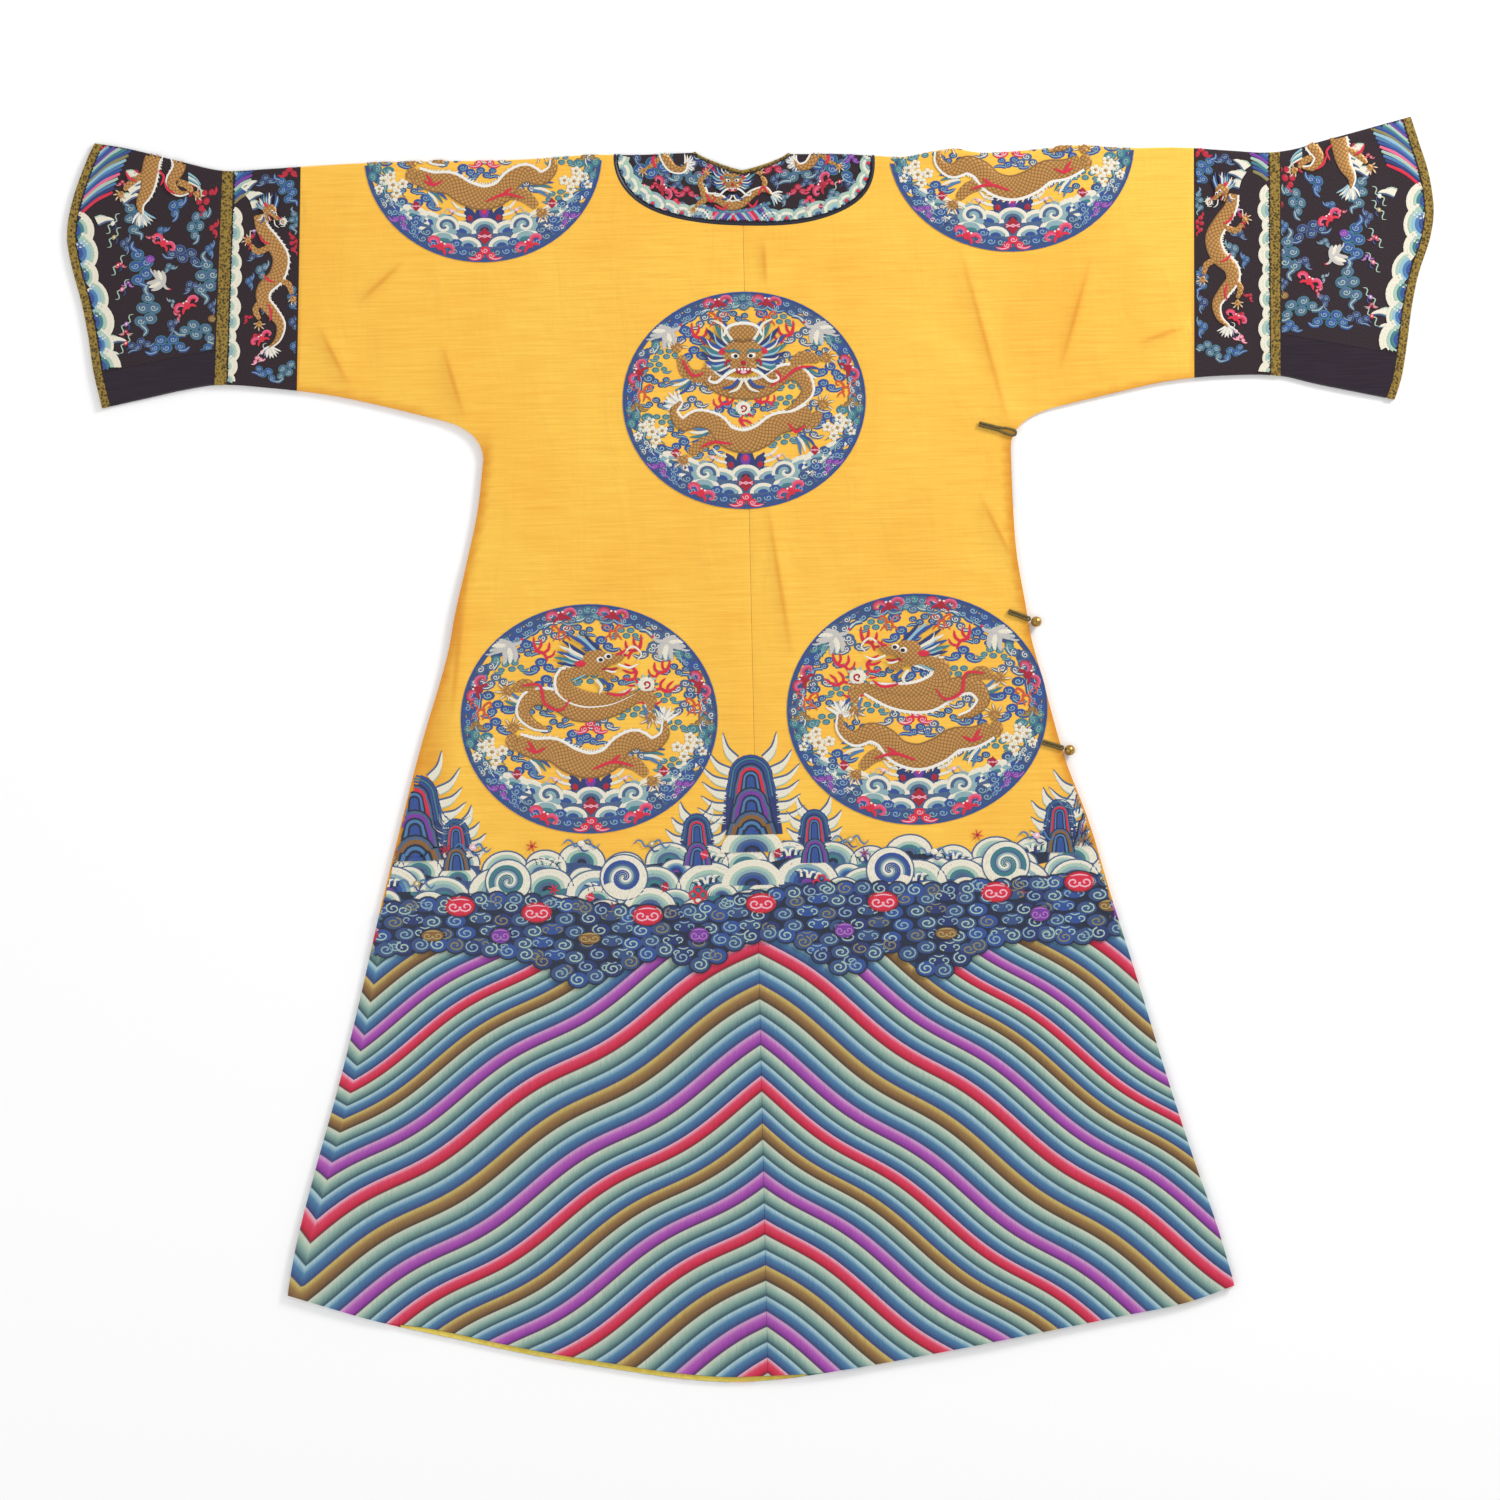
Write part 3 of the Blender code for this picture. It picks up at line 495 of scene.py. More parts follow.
materials = {
    "yellow": yellowSilkMaterial(), "brocade": brocadeMaterial(), "stitch": satinStitchMaterial(),
    "couched": couchedGoldMaterial(),
    # dark plum silk ground of the collar, bands and cuffs: dull, finely ribbed
    "dark": plainMaterial("plumSilkGround", 0.65, (700.0, 700.0, 1.0), 2.0,
        [(0.3, "#1f161c"), (0.7, "#35272d")], (0.3, 0.0004), sheen=0.05, specular=0.25),
    # plain warp-faced satin: smoother, with a soft streaky shine
    "satin": plainMaterial("plainPlumSatin", 0.5, (25.0, 500.0, 1.0), 3.0,
        [(0.3, "#190f1c"), (0.7, "#281829")], (0.25, 0.0005), sheen=0.05, specular=0.3),
    # bias-cut satin rolled over a cord: near black with a narrow soft highlight
    "piping": plainMaterial("navySatinPiping", 0.38, (900.0, 900.0, 900.0), 2.0,
        [(0.3, "#12131f"), (0.7, "#24263a")], sheen=0.1),
    # plain thin lining silk: paler and greener than the outer cloth
    "lining": plainMaterial("plainLiningSilk", 0.55, (160.0, 160.0, 160.0), 4.0,
        [(0.3, "#cfb544"), (0.7, "#e3cd62")], sheen=0.2, specular=0.3),
    # braided silk cord: dark olive, matt
    "cord": plainMaterial("braidedSilkCord", 0.6, (1100.0, 1100.0, 1100.0), 2.0,
        [(0.3, "#3c3216"), (0.7, "#7a6a37")], (0.6, 0.0005), sheen=0.2, specular=0.3),
    # cast gilt brass: warm, worn duller on the high places
    "brass": plainMaterial("giltBrass", 0.34, (420.0, 420.0, 420.0), 4.0,
        [(0.35, "#8a6a35"), (0.7, "#d0a860")], metallic=1.0),
}
print("materials made")


# cloth shells

def spread(start, stop, step):
    return np.linspace(start, stop, max(1, int(round(abs(stop - start) / step))) + 1)


def withFoldRows(outline):
    points = []
    for here, there in zip(outline, outline[1:] + outline[:1]):
        points.append(here)
        low, high = here[1], there[1]
        crossed = [r for r in foldRows if min(low, high) + 0.05 < r < max(low, high) - 0.05]
        for row in sorted(crossed, reverse=bool(low > high)):
            part = (row - low) / (high - low)
            points.append((here[0] + (there[0] - here[0]) * part, row))
    return points


def insideRing(points, ring):
    points = np.asarray(points, float)
    hit = np.zeros(len(points), bool)
    ring = np.asarray(ring, float)
    for (ax, ay), (bx, by) in zip(ring, np.roll(ring, -1, axis=0)):
        if ay == by:
            continue
        crosses = (ay > points[:, 1]) != (by > points[:, 1])
        at = ax + (points[:, 1] - ay) * (bx - ax) / (by - ay)
        hit ^= crosses & (points[:, 0] < at)
    return hit


def edgeDistance(points, ring):
    points = np.asarray(points, float)
    best = np.full(len(points), 1e9)
    ring = np.asarray(ring, float)
    for (ax, ay), (bx, by) in zip(ring, np.roll(ring, -1, axis=0)):
        dx, dy = bx - ax, by - ay
        square = max(dx * dx + dy * dy, 1e-12)
        part = np.clip(((points[:, 0] - ax) * dx + (points[:, 1] - ay) * dy) / square, 0, 1)
        away = np.hypot(points[:, 0] - ax - part * dx, points[:, 1] - ay - part * dy)
        best = np.minimum(best, away)
    return best


def fillCut(outline, backStep, frontStep, folded=True, extra=(), extraEdges=()):
    # triangles of a flat cut: its outline, a staggered grid and any extra places
    ring = withFoldRows(outline) if folded else list(outline)
    ringArray = np.array(ring, float)
    lowX, highX = ringArray[:, 0].min(), ringArray[:, 0].max()
    lowY, highY = ringArray[:, 1].min(), ringArray[:, 1].max()
    places = []
    for step, low, high in ((backStep, max(0, lowY), highY), (frontStep, lowY, min(0, highY))):
        if high <= low:
            continue
        for index, y in enumerate(spread(low, high, step * 0.87)):
            if folded and abs(y) < foldHalf + step * 0.4:
                continue
            first = math.floor(lowX / step) * step + (step / 2 if index % 2 else 0)
            xs = np.arange(first, highX, step)
            places.append(np.stack([xs, np.full(len(xs), y)], axis=1))
    grid = np.concatenate(places) if places else np.zeros((0, 2))
    grid = grid[insideRing(grid, ring)]
    steps = np.where(grid[:, 1] > 0, backStep, frontStep) * 0.42
    grid = grid[edgeDistance(grid, ring) > steps]
    points = [tuple(p) for p in ring]
    edges = []
    if folded and lowY < 0 < highY:
        for row in foldRows:
            xs = spread(lowX, highX, backStep)
            line = np.stack([xs, np.full(len(xs), row)], axis=1)
            line = line[insideRing(line, ring)]
            line = line[edgeDistance(line, ring) > 1.0] if len(line) else line
            points += [tuple(p) for p in line]
    if len(extra):
        extra = np.asarray(extra, float)
        keep = insideRing(extra, ring) & (edgeDistance(extra, ring) > 1.0)
        index = np.full(len(extra), -1)
        index[keep] = len(points) + np.arange(keep.sum())
        points += [tuple(p) for p in extra[keep]]
        for a, b in extraEdges:
            if index[a] >= 0 and index[b] >= 0:
                edges.append((int(index[a]), int(index[b])))
        near = np.full(len(grid), 1e9)
        for chunk in np.array_split(extra[keep], max(1, keep.sum() // 400)):
            if len(chunk) and len(grid):
                away = np.hypot(grid[:, None, 0] - chunk[None, :, 0], grid[:, None, 1] - chunk[None, :, 1])
                near = np.minimum(near, away.min(axis=1))
        grid = grid[near > backStep * 0.45]
    points += [tuple(p) for p in grid]
    if folded:
        for row in foldRows:
            onRow = [i for i, p in enumerate(points) if abs(p[1] - row) < 1e-6]
            onRow.sort(key=lambda i: points[i][0])
            middles = [((points[a][0] + points[b][0]) / 2, row) for a, b in zip(onRow, onRow[1:])]
            if middles:
                good = insideRing(middles, ring)
                edges += [pair for pair, ok in zip(zip(onRow, onRow[1:]), good) if ok]
    flat = [Vector((p[0] * 0.001, -p[1] * 0.001)) for p in points]
    face = list(range(len(ring)))
    ahead = np.roll(ringArray, -1, axis=0)
    area = np.sum(ringArray[:, 1] * ahead[:, 0] - ringArray[:, 0] * ahead[:, 1])
    if area < 0:
        face.reverse()
    made = delaunay_2d_cdt(flat, edges, [face], 1, 1e-7)
    cut = np.array([(v.x * 1000, -v.y * 1000) for v in made[0]])
    return cut, np.array([list(f) for f in made[2]])


def finishMesh(name, verts, faces, slots, faceSlot=None, uv=None, tints=None, smoothed=True):
    mesh = bpy.data.meshes.new(name)
    mesh.from_pydata(verts.tolist(), [], faces)
    for slot in slots:
        mesh.materials.append(materials[slot])
    loopVert = np.zeros(len(mesh.loops), int)
    mesh.loops.foreach_get("vertex_index", loopVert)
    if uv is not None:
        uvLayer = mesh.uv_layers.new(name="stitches")
        uvLayer.data.foreach_set("uv", np.asarray(uv, float)[loopVert].ravel())
    if tints is not None:
        paint = mesh.color_attributes.new("threadTint", "FLOAT_COLOR", "POINT")
        rgba = np.concatenate([tints, np.ones((len(tints), 1))], axis=1)
        paint.data.foreach_set("color", rgba.ravel())
    if faceSlot is not None:
        mesh.polygons.foreach_set("material_index", np.asarray(faceSlot, dtype=np.int32))
    mesh.polygons.foreach_set("use_smooth", np.full(len(mesh.polygons), smoothed))
    mesh.update()
    made = bpy.data.objects.new(name, mesh)
    bpy.context.scene.collection.objects.link(made)
    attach(made, "root")
    return made


leastCut = 0.01


def declareSheet(made, cut, faces, rim):
    # the flat cut's two sizes, or a strip's width and length, and its real area, in metres
    a, b, c = (cut[faces[:, corner]] * 0.001 for corner in range(3))
    twice = (b[:, 0] - a[:, 0]) * (c[:, 1] - a[:, 1]) - (b[:, 1] - a[:, 1]) * (c[:, 0] - a[:, 0])
    area = abs(twice).sum() / 2
    wide, tall = np.ptp(cut, axis=0) * 0.001
    if area < 0.45 * wide * tall:
        around = sum(math.hypot(*(cut[face[0]] - cut[face[1]])) for face in rim) * 0.001
        tall = (around + math.sqrt(around ** 2 - 16 * area)) / 4
        wide = max(area / tall, leastCut)
    print("cut of", made.name, round(wide, 3), round(tall, 3), "m, area", round(area, 4))


def clothShell(name, node, cut, faces, slot, lapped=False, layWith=lay, flip=False, profile=None, uv=None):
    # a thin closed wall on the solid's form: outer face, inner face and rim
    count = len(cut)
    lift = profile(cut) if profile else np.zeros(count)
    outer = layWith(cut[:, 0], cut[:, 1], lift, lapped)
    inner = layWith(cut[:, 0], cut[:, 1], np.full(count, -robe["wall"]), lapped)
    if flip:
        faces = faces[:, ::-1]
    edges = dict.fromkeys((f[i], f[(i + 1) % 3]) for f in faces.tolist() for i in range(3))
    rim = [(b, a, count + a, count + b) for a, b in edges if (b, a) not in edges]
    allFaces = faces.tolist() + (faces[:, ::-1] + count).tolist() + rim
    uvAll = None if uv is None else np.concatenate([uv, uv])
    made = finishMesh(name, np.concatenate([outer, inner]), allFaces, [slot], uv=uvAll)
    made.data.set_sharp_from_angle(angle=math.radians(50))
    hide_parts(node)
    declareSheet(made, cut, faces, rim)
    return made


def armpit(side):
    # the curve from the sleeve's underside into the side
    pit = side * robe["armpitReach"]
    start = (pit, float(under(pit)))
    stop = (float(sideEdge(side, robe["armpitDrop"])), robe["armpitDrop"])
    corner = (stop[0] + side, start[1] + 12)
    points = []
    for part in np.arange(0.1, 0.95, 0.1):
        a, b, c = (1 - part) ** 2, 2 * part * (1 - part), part ** 2
        points.append((a * start[0] + b * corner[0] + c * stop[0],
            a * start[1] + b * corner[1] + c * stop[1]))
    return points


def halfOutline(side, front):
    hem = frontHem if front else backHem
    underLap = front and side > 0
    inset = robe["lapInset"] if underLap else 0
    rise = robe["lapHemRise"] if underLap else 0
    seam = float(seamX("band", side, under(side * 515))) - side * robe["gap"] / 2
    step = 16 if front else 9
    points = [(x, float(under(x))) for x in spread(seam, side * robe["armpitReach"], step)]
    points += armpit(side)
    low = float(frontHem(robe["hemLeft"] if side < 0 else robe["hemRight"]))
    points += [(float(sideEdge(side, d)), d) for d in spread(robe["armpitDrop"], low - 2, step)]
    pull = [float(smooth(330, 400, 730 - abs(x))) if d < robe["armpitDrop"] else 1 for x, d in points]
    points = [(x - side * inset * part, d) for (x, d), part in zip(points, pull)]
    edge = points[-1][0]
    centre = robe["centreX"] + side * robe["gap"] / 2
    points[-1] = (edge, float(hem(edge)) - rise)
    points += [(x, float(hem(x)) - rise) for x in spread(edge, centre, step)[1:]]
    return points


def ringCurve(ring, side, count, grow=0.0):
    left, right, back, frontDepth = (value + grow for value in ring[:4])
    points = []
    for index in range(count + 1):
        angle = math.pi / 2 - math.pi * index / count
        power = 2 / ring[4 if side < 0 else 5] if angle > 0 else 2 / ring[6]
        reach = left if side < 0 else right
        depth = back if angle > 0 else frontDepth
        x = reach * abs(math.cos(angle)) ** power
        y = math.copysign(depth * abs(math.sin(angle)) ** power, angle)
        points.append((robe["centreX"] + side * x, y))
    return points


def stitchPlace(cut, side):
    # the stripes' own coordinates on a body half, for the back and the front alike
    line = top(cut[:, 0]) + foldOuter
    drop = line + np.abs(cut[:, 1]) - foldHalf
    x = cut[:, 0].copy()
    if side < 0:
        seam = leftSeam(drop)
        wrapped = (cut[:, 1] > 0) & (x < seam)
        x = np.where(wrapped, 2 * seam - x, x)
    count = stripeCount(x, drop)
    below = drop > stripes["start"]
    return np.stack([abs(x), np.where(below, count, stripes["bare"])], axis=1)


def bodyHalf(side):
    half = side * robe["gap"] / 2
    centre = robe["centreX"]
    name = sideName[side]
    collar = ringCurve(rings["collar"], side, 60, robe["gap"])
    collar[0] = (centre + half, collar[0][1])
    collar[-1] = (centre + half, collar[-1][1])
    back = [(x, float(unfold(x, d))) for x, d in halfOutline(side, False)]
    front = [(x, float(unfold(x, d, True))) for x, d in halfOutline(side, True)]
    shoulder = (float(seamX("band", side, 0)) - half, 0)
    middle = centre + half
    backMiddle = [(middle, run) for run in spread(back[-1][1], collar[0][1], 9)[1:-1]]
    frontMiddle = [(middle, run) for run in spread(collar[-1][1], front[-1][1], 17)[1:-1]]
    outline = collar + frontMiddle + list(reversed(front)) + [shoulder] + back + backMiddle
    extra, edges = [], []
    for d in np.arange(120, 1400, 9.0):
        extra.append((centre + side * 2.6, float(unfold(centre + side * 2.6, d))))
    if side < 0:
        first = len(extra)
        for index, d in enumerate(np.arange(890, 1290, 8.0)):
            x = float(leftSeam(d))
            extra.append((x, float(unfold(x, d))))
            if index:
                edges.append((first + index - 1, first + index))
    for x0, d0, x1, d1 in (row[:4] for row in creaseRows):
        # closer rows of points carry a crease's crest
        length = math.hypot(x1 - x0, d1 - d0)
        for offset in (-4.5, 0, 4.5):
            for part in np.arange(0, 1.001, 5.5 / length):
                x = x0 + (x1 - x0) * part - offset * (d1 - d0) / length
                d = d0 + (d1 - d0) * part + offset * (x1 - x0) / length
                extra.append((x, float(unfold(x, d))))
    cut, faces = fillCut(outline, 8, 17, extra=extra, extraEdges=edges)

    def groove(points):
        # the centre seam pulls the cloth down a little
        return -0.45 * np.exp(-((points[:, 0] - centre) / 2.2) ** 2) * (points[:, 1] > 20)

    made = clothShell("silk_body_" + name, "body_" + name, cut, faces, "yellow", lapped=side > 0,
        profile=groove, uv=stitchPlace(cut, side))
    coords = np.empty(len(made.data.vertices) * 3)
    made.data.vertices.foreach_get("co", coords)
    places = coords.reshape(-1, 3) * 1000
    # painted shade for the silk's colour: darker at the turned sides, under the sleeves and along the
    # creases
    shade = paintedFoldShade(places[:, 0] - robe["neckX"], robe["shoulderY"] - places[:, 1])
    made.data.attributes.new("paintedFoldShade", "FLOAT", "POINT").data.foreach_set("value", shade)
    return made


for side in (-1, 1):
    made = bodyHalf(side)
    print("body", made.name, len(made.data.polygons))


def lapCurve(offset, start, stop, step):
    points = []
    for x in spread(start, stop, step):
        slope = float(lapEdge(x + 1) - lapEdge(x - 1)) / 2
        length = math.hypot(1, slope)
        points.append((x - slope / length * offset, float(lapEdge(x)) + offset / length))
    return points


def overlapPieces():
    left = robe["centreX"] + robe["gap"] / 2
    width = robe["borderWidth"]
    pit = robe["armpitDrop"]

    def clipped(points):
        return [(max(x, left), d) for x, d in points if x < sideEdge(1, max(d, pit)) - 0.5]

    outer = clipped(lapCurve(2.0, robe["centreX"], 292, 10))
    inner = clipped(lapCurve(width, robe["centreX"], 340, 10))
    start, stop = outer[-1][1], inner[-1][1]
    edge = [(float(sideEdge(1, max(d, pit))) - 0.2, d) for d in spread(max(start, pit), stop, 12)]
    border = outer + edge + list(reversed(inner))
    border[-1] = (left, float(lapEdge(left)) + width)
    cut, faces = fillCut(border, 12, 12, folded=False)
    clothShell("silk_overlap_border", "overlap_border", cut, faces, "dark", layWith=layFlat, flip=True)
    upper = [(x, d + robe["gap"] * 1.6) for x, d in inner]
    upper[0] = (left, float(lapEdge(left)) + width + robe["gap"])
    low = float(frontHem(robe["hemRight"]))
    down = [(float(sideEdge(1, d)) - 0.2, d) for d in spread(stop + 1, low - 2, 18)]
    hem = [(x, float(frontHem(x))) for x in spread(down[-1][0], left, 16)]
    cut, faces = fillCut(upper + down[:-1] + hem, 16, 16, folded=False)
    uv = np.stack([abs(cut[:, 0]), np.where(cut[:, 1] > stripes["start"], stripeCount(cut[:, 0], cut[:, 1]),
        stripes["bare"])], axis=1)
    clothShell("silk_front_overlap", "front_overlap", cut, faces, "yellow", layWith=layFlat, flip=True,
        uv=uv)


overlapPieces()


def footOf(at, lowAt):
    x = float(at(250))
    for _ in range(6):
        x = float(at(float(lowAt(x))))
    return x


def sleevePiece(name, node, near, far, lowAt, step, slot):
    def line(at, front):
        foot = footOf(at, lowAt)
        shown = [d for d in np.arange(-40, 320, 10.0) if float(top(foot)) + 6 < d < float(lowAt(foot)) - 4]
        points = [(float(at(d)), float(unfold(float(at(d)), d, front))) for d in shown]
        points.append((foot, float(unfold(foot, float(lowAt(foot)), front))))
        return points

    def hem(front):
        xs = spread(footOf(near, lowAt), footOf(far, lowAt), 11)[1:-1]
        return [(x, float(unfold(x, float(lowAt(x)), front))) for x in xs]

    def foldPoint(at):
        return [(float(at(float(top(float(at(0)))))), 0)]

    outline = list(reversed(line(near, True))) + foldPoint(near) + line(near, False)
    outline += hem(False)
    outline += list(reversed(line(far, False))) + foldPoint(far) + line(far, True)
    outline += list(reversed(hem(True)))
    cut, faces = fillCut(outline, step, step * 1.6)
    return clothShell(name, node, cut, faces, slot)


def gusset(side, near, far):
    def lowAt(x):
        return gussetEdge(side, x) + robe["gap"] / 2

    outline = []
    for front in (False, True):
        start, stop = footOf(near, lowAt), footOf(far, lowAt)
        upper = [(x, float(lowAt(x))) for x in spread(start, stop, 9)]
        nearSide = [(float(near(d)), d) for d in spread(float(under(start)), upper[0][1], 10)[1:-1]]
        shown = [d for d in np.arange(220, 320, 10.0) if upper[-1][1] + 4 < d < float(under(stop)) - 4]
        farSide = [(float(far(d)), d) for d in shown]
        run = []
        for x, d in nearSide + upper + farSide:
            measured = foldHalf + float(under(x)) - foldOuter - d
            run.append((x, -measured if front else measured))
        corner = (float(near(float(under(start)))), 0) if front else (float(far(float(under(stop)))), 0)
        outline += (list(reversed(run)) if front else run) + [corner]
    cut, faces = fillCut(outline, 9, 14)
    name = sideName[side]
    return clothShell("satin_underarm_" + name, "cuff_underarm_" + name, cut, faces, "satin",
        layWith=layUnder, flip=True)


def sleeve(side):
    half = side * robe["gap"] / 2
    name = sideName[side]

    def seam(which, shift):
        return lambda d: seamX(which, side, d) + shift

    def end(inset):
        return lambda d: sleeveEnd(side, d) - side * inset

    def aboveGusset(x):
        return gussetEdge(side, x) - robe["gap"] / 2

    edging = robe["edging"]
    sleevePiece("silk_band_" + name, "sleeve_band_" + name, seam("band", half), seam("trim", -half), under,
        9, "dark")
    sleevePiece("ribbon_trim_" + name, "band_trim_" + name, seam("trim", half), seam("cuff", -half), under,
        9, "brocade")
    sleevePiece("silk_cuff_" + name, "cuff_" + name, seam("cuff", half), end(edging + robe["gap"]),
        aboveGusset, 9, "dark")
    sleevePiece("ribbon_edging_" + name, "cuff_edging_" + name, end(edging), end(0), under, 9, "brocade")
    gusset(side, seam("cuff", half), end(edging + robe["gap"]))


for side in (-1, 1):
    sleeve(side)
print("sleeves made")


def ringPiece(name, node, outer, outerGrow, inner, innerGrow, step, slot, crown=0.0):
    # a piece between two rings round the neck; a crown gives a piping its round back
    outline = []
    slit = robe["gap"] / 2
    for ring, grow, way in ((outer, outerGrow, 1), (inner, innerGrow, -1)):
        around = list(reversed(ringCurve(ring, -1, 70, grow)))[:-1] + ringCurve(ring, 1, 70, grow)
        around[0] = (robe["centreX"] - slit, around[0][1])
        around[-1] = (robe["centreX"] + slit, around[-1][1])
        outline += around if way > 0 else list(reversed(around))
    extra = []
    if crown:
        for part in (0.25, 0.5, 0.75):
            grow = innerGrow + (outerGrow - innerGrow) * part
            for s in (-1, 1):
                extra += ringCurve(inner if inner is outer else outer, s, 70, grow)
    cut, faces = fillCut(outline, step, step * 1.4, extra=extra)

    def crowned(points):
        away = edgeDistance(points, outline)
        width = outerGrow - innerGrow
        lift = crown * np.sqrt(np.clip(1 - (1 - np.minimum(2 * away / width, 1)) ** 2, 0, 1))
        return np.where(points[:, 1] < -foldHalf, 0, lift)

    return clothShell(name, node, cut, faces, slot, profile=crowned if crown else None)


collarRing, neckRing = rings["collar"], rings["neck"]
ringPiece("satin_collar_piping", "collar_outer_piping", collarRing, 0, collarRing, -3.5, 8, "piping",
    crown=1.3)
ringPiece("silk_collar", "collar", collarRing, -3.8, neckRing, 4.8, 8, "dark")
ringPiece("ribbon_neck_piping", "collar_neck_piping", neckRing, 4.5, neckRing, 0, 8, "brocade", crown=1.3)
print("collar made")


def hemLining():
    xs = spread(-425, 40, 8)
    upper = [(x, float(backHem(x)) + 0.5) for x in xs]
    lower = [(x, float(frontHem(x)) - 0.4) for x in reversed(xs)]
    cut, faces = fillCut(upper + lower, 12, 12, folded=False)
    count = len(cut)
    z = layer + 0.8
    outer = world(cut[:, 0], cut[:, 1], np.full(count, z))
    inner = world(cut[:, 0], cut[:, 1], np.full(count, layer))
    edges = {(f[i], f[(i + 1) % 3]) for f in faces.tolist() for i in range(3)}
    rim = [(b, a, count + a, count + b) for a, b in edges if (b, a) not in edges]
    allFaces = faces[:, ::-1].tolist() + (faces + count).tolist() + [r[::-1] for r in rim]
    made = finishMesh("silk_hem_lining", np.concatenate([outer, inner]), allFaces, ["lining"],
        smoothed=False)
    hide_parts("hem_lining")
    declareSheet(made, cut, faces, rim)


hemLining()


# embroidery: strokes and filled shapes of floss or gold thread, each a low dome lying on
# the cloth. A motif is drawn about its own middle, in a frame that also holds its work.

def newWork():
    work = {"points": [], "lifts": [], "tints": [], "uvs": [], "faces": [], "slots": [], "count": 0}
    return work, np.eye(3)


def at(base, x, y, size=1.0, turn=0.0, flip=1):
    # a frame in another: moved, turned by degrees, scaled, and mirrored where flip is -1
    c, s = math.cos(math.radians(turn)), math.sin(math.radians(turn))
    wide, tall = size if isinstance(size, tuple) else (size, size)
    made = np.array([[c * wide * flip, -s * tall, x], [s * wide * flip, c * tall, y], [0, 0, 1.0]])
    return base[0], base[1] @ made


def mirrored(base, x=0, y=0):
    return at(base, x, y, flip=-1), at(base, x, y)


def through(matrix, points):
    return np.asarray(points, float) @ matrix[:2, :2].T + matrix[:2, 2]


def arc(wide, tall, turns):
    return np.stack([wide * np.cos(turns), tall * np.sin(turns)], axis=1)


def oval(wide, tall, count=10):
    return arc(wide, tall, np.linspace(0, 2 * math.pi, count, endpoint=False))


def ray(reach, angle, stretch=1.0):
    return reach * math.cos(angle), reach * stretch * math.sin(angle)


def curvePath(points, step):
    # a smooth path through its points, in steps of about this length
    p = np.asarray(points, float)
    p = np.concatenate([2 * p[:1] - p[1:2], p, 2 * p[-1:] - p[-2:-1]])
    out = []
    for i in range(1, len(p) - 2):
        a, b, c, d = p[i - 1:i + 3]
        parts = max(1, int(math.ceil(math.hypot(*(c - b)) / step)))
        t = (np.arange(parts) / parts)[:, None]
        out.append(0.5 * (2 * b + (c - a) * t + (2 * a - 5 * b + 4 * c - d) * t * t
            + (3 * b - 3 * c + d - a) * t ** 3))
    return np.concatenate(out + [p[-2:-1]])


threadLift = {"base": 0.12, "perLevel": 0.13, "mostOnFront": 0.45}


def asTint(tint):
    return np.array(thread[tint])


def liftOf(level):
    return threadLift["base"] + threadLift["perLevel"] * level


def addPart(work, slot, faces, **parts):
    work["faces"].append(np.asarray(faces) + work["count"])
    work["slots"].append(slot)
    work["count"] += len(parts["points"])
    for key, value in parts.items():
        work[key].append(value)


def stripFaces(count, rows, closed=False):
    # four-sided faces between the rows of a strip, laid point row by point row
    i, j = np.arange(count if closed else count - 1), np.arange(rows - 1)
    a = (i[:, None] * rows + j).ravel()
    b = (((i + 1) % count)[:, None] * rows + j).ravel()
    return np.stack([a, b, b + 1, a + 1], axis=1)


def stroke(base, points, width, tint, level, start=1, stop=1, closed=False, crown=0.3, slot=0, step=3.0,
        straight=False, rows=3):
    # a line of stitches; start and stop say how full its ends are, 0 to 1
    work, matrix = base
    size = math.sqrt(abs(np.linalg.det(matrix[:2, :2])))
    path = through(matrix, points if straight else curvePath(points, step / size))
    count = len(path)
    ahead = np.roll(path, -1, axis=0) - np.roll(path, 1, axis=0) if closed else np.gradient(path, axis=0)
    length = np.maximum(np.hypot(ahead[:, 0], ahead[:, 1]), 1e-9)
    side = np.stack([-ahead[:, 1], ahead[:, 0]], axis=1) / length[:, None]
    along = np.concatenate([[0], np.cumsum(np.hypot(*np.diff(path, axis=0).T))])
    t = along / max(along[-1], 1e-9)
    half = (width(t) if callable(width) else np.full(count, float(width))) * size / 2
    if not closed:
        half = half * (start + (1 - start) * np.sqrt(np.clip(t / 0.4, 0, 1)))
        half = half * (stop + (1 - stop) * np.sqrt(np.clip((1 - t) / 0.4, 0, 1)))
    across = np.linspace(-1, 1, rows)
    places = path[:, None, :] + side[:, None, :] * (half[:, None] * across)[:, :, None]
    lifts = np.broadcast_to(liftOf(level) + crown * np.sqrt(1 - across ** 2), (count, rows)).ravel()
    bands = np.array([asTint(v) for v in tint]) if isinstance(tint, list) else asTint(tint)[None]
    steps = np.linspace(0, 1, len(bands))
    shade = np.stack([np.interp((across + 1) / 2, steps, bands[:, k]) for k in range(3)], axis=1)
    uvs = np.stack([np.broadcast_to(along[:, None], (count, rows)), half[:, None] * across], axis=2)
    addPart(work, slot, stripFaces(count, rows, closed), points=places.reshape(-1, 2), lifts=lifts,
        tints=np.broadcast_to(shade, (count, rows, 3)).reshape(-1, 3), uvs=uvs.reshape(-1, 2))
    return path, side, half


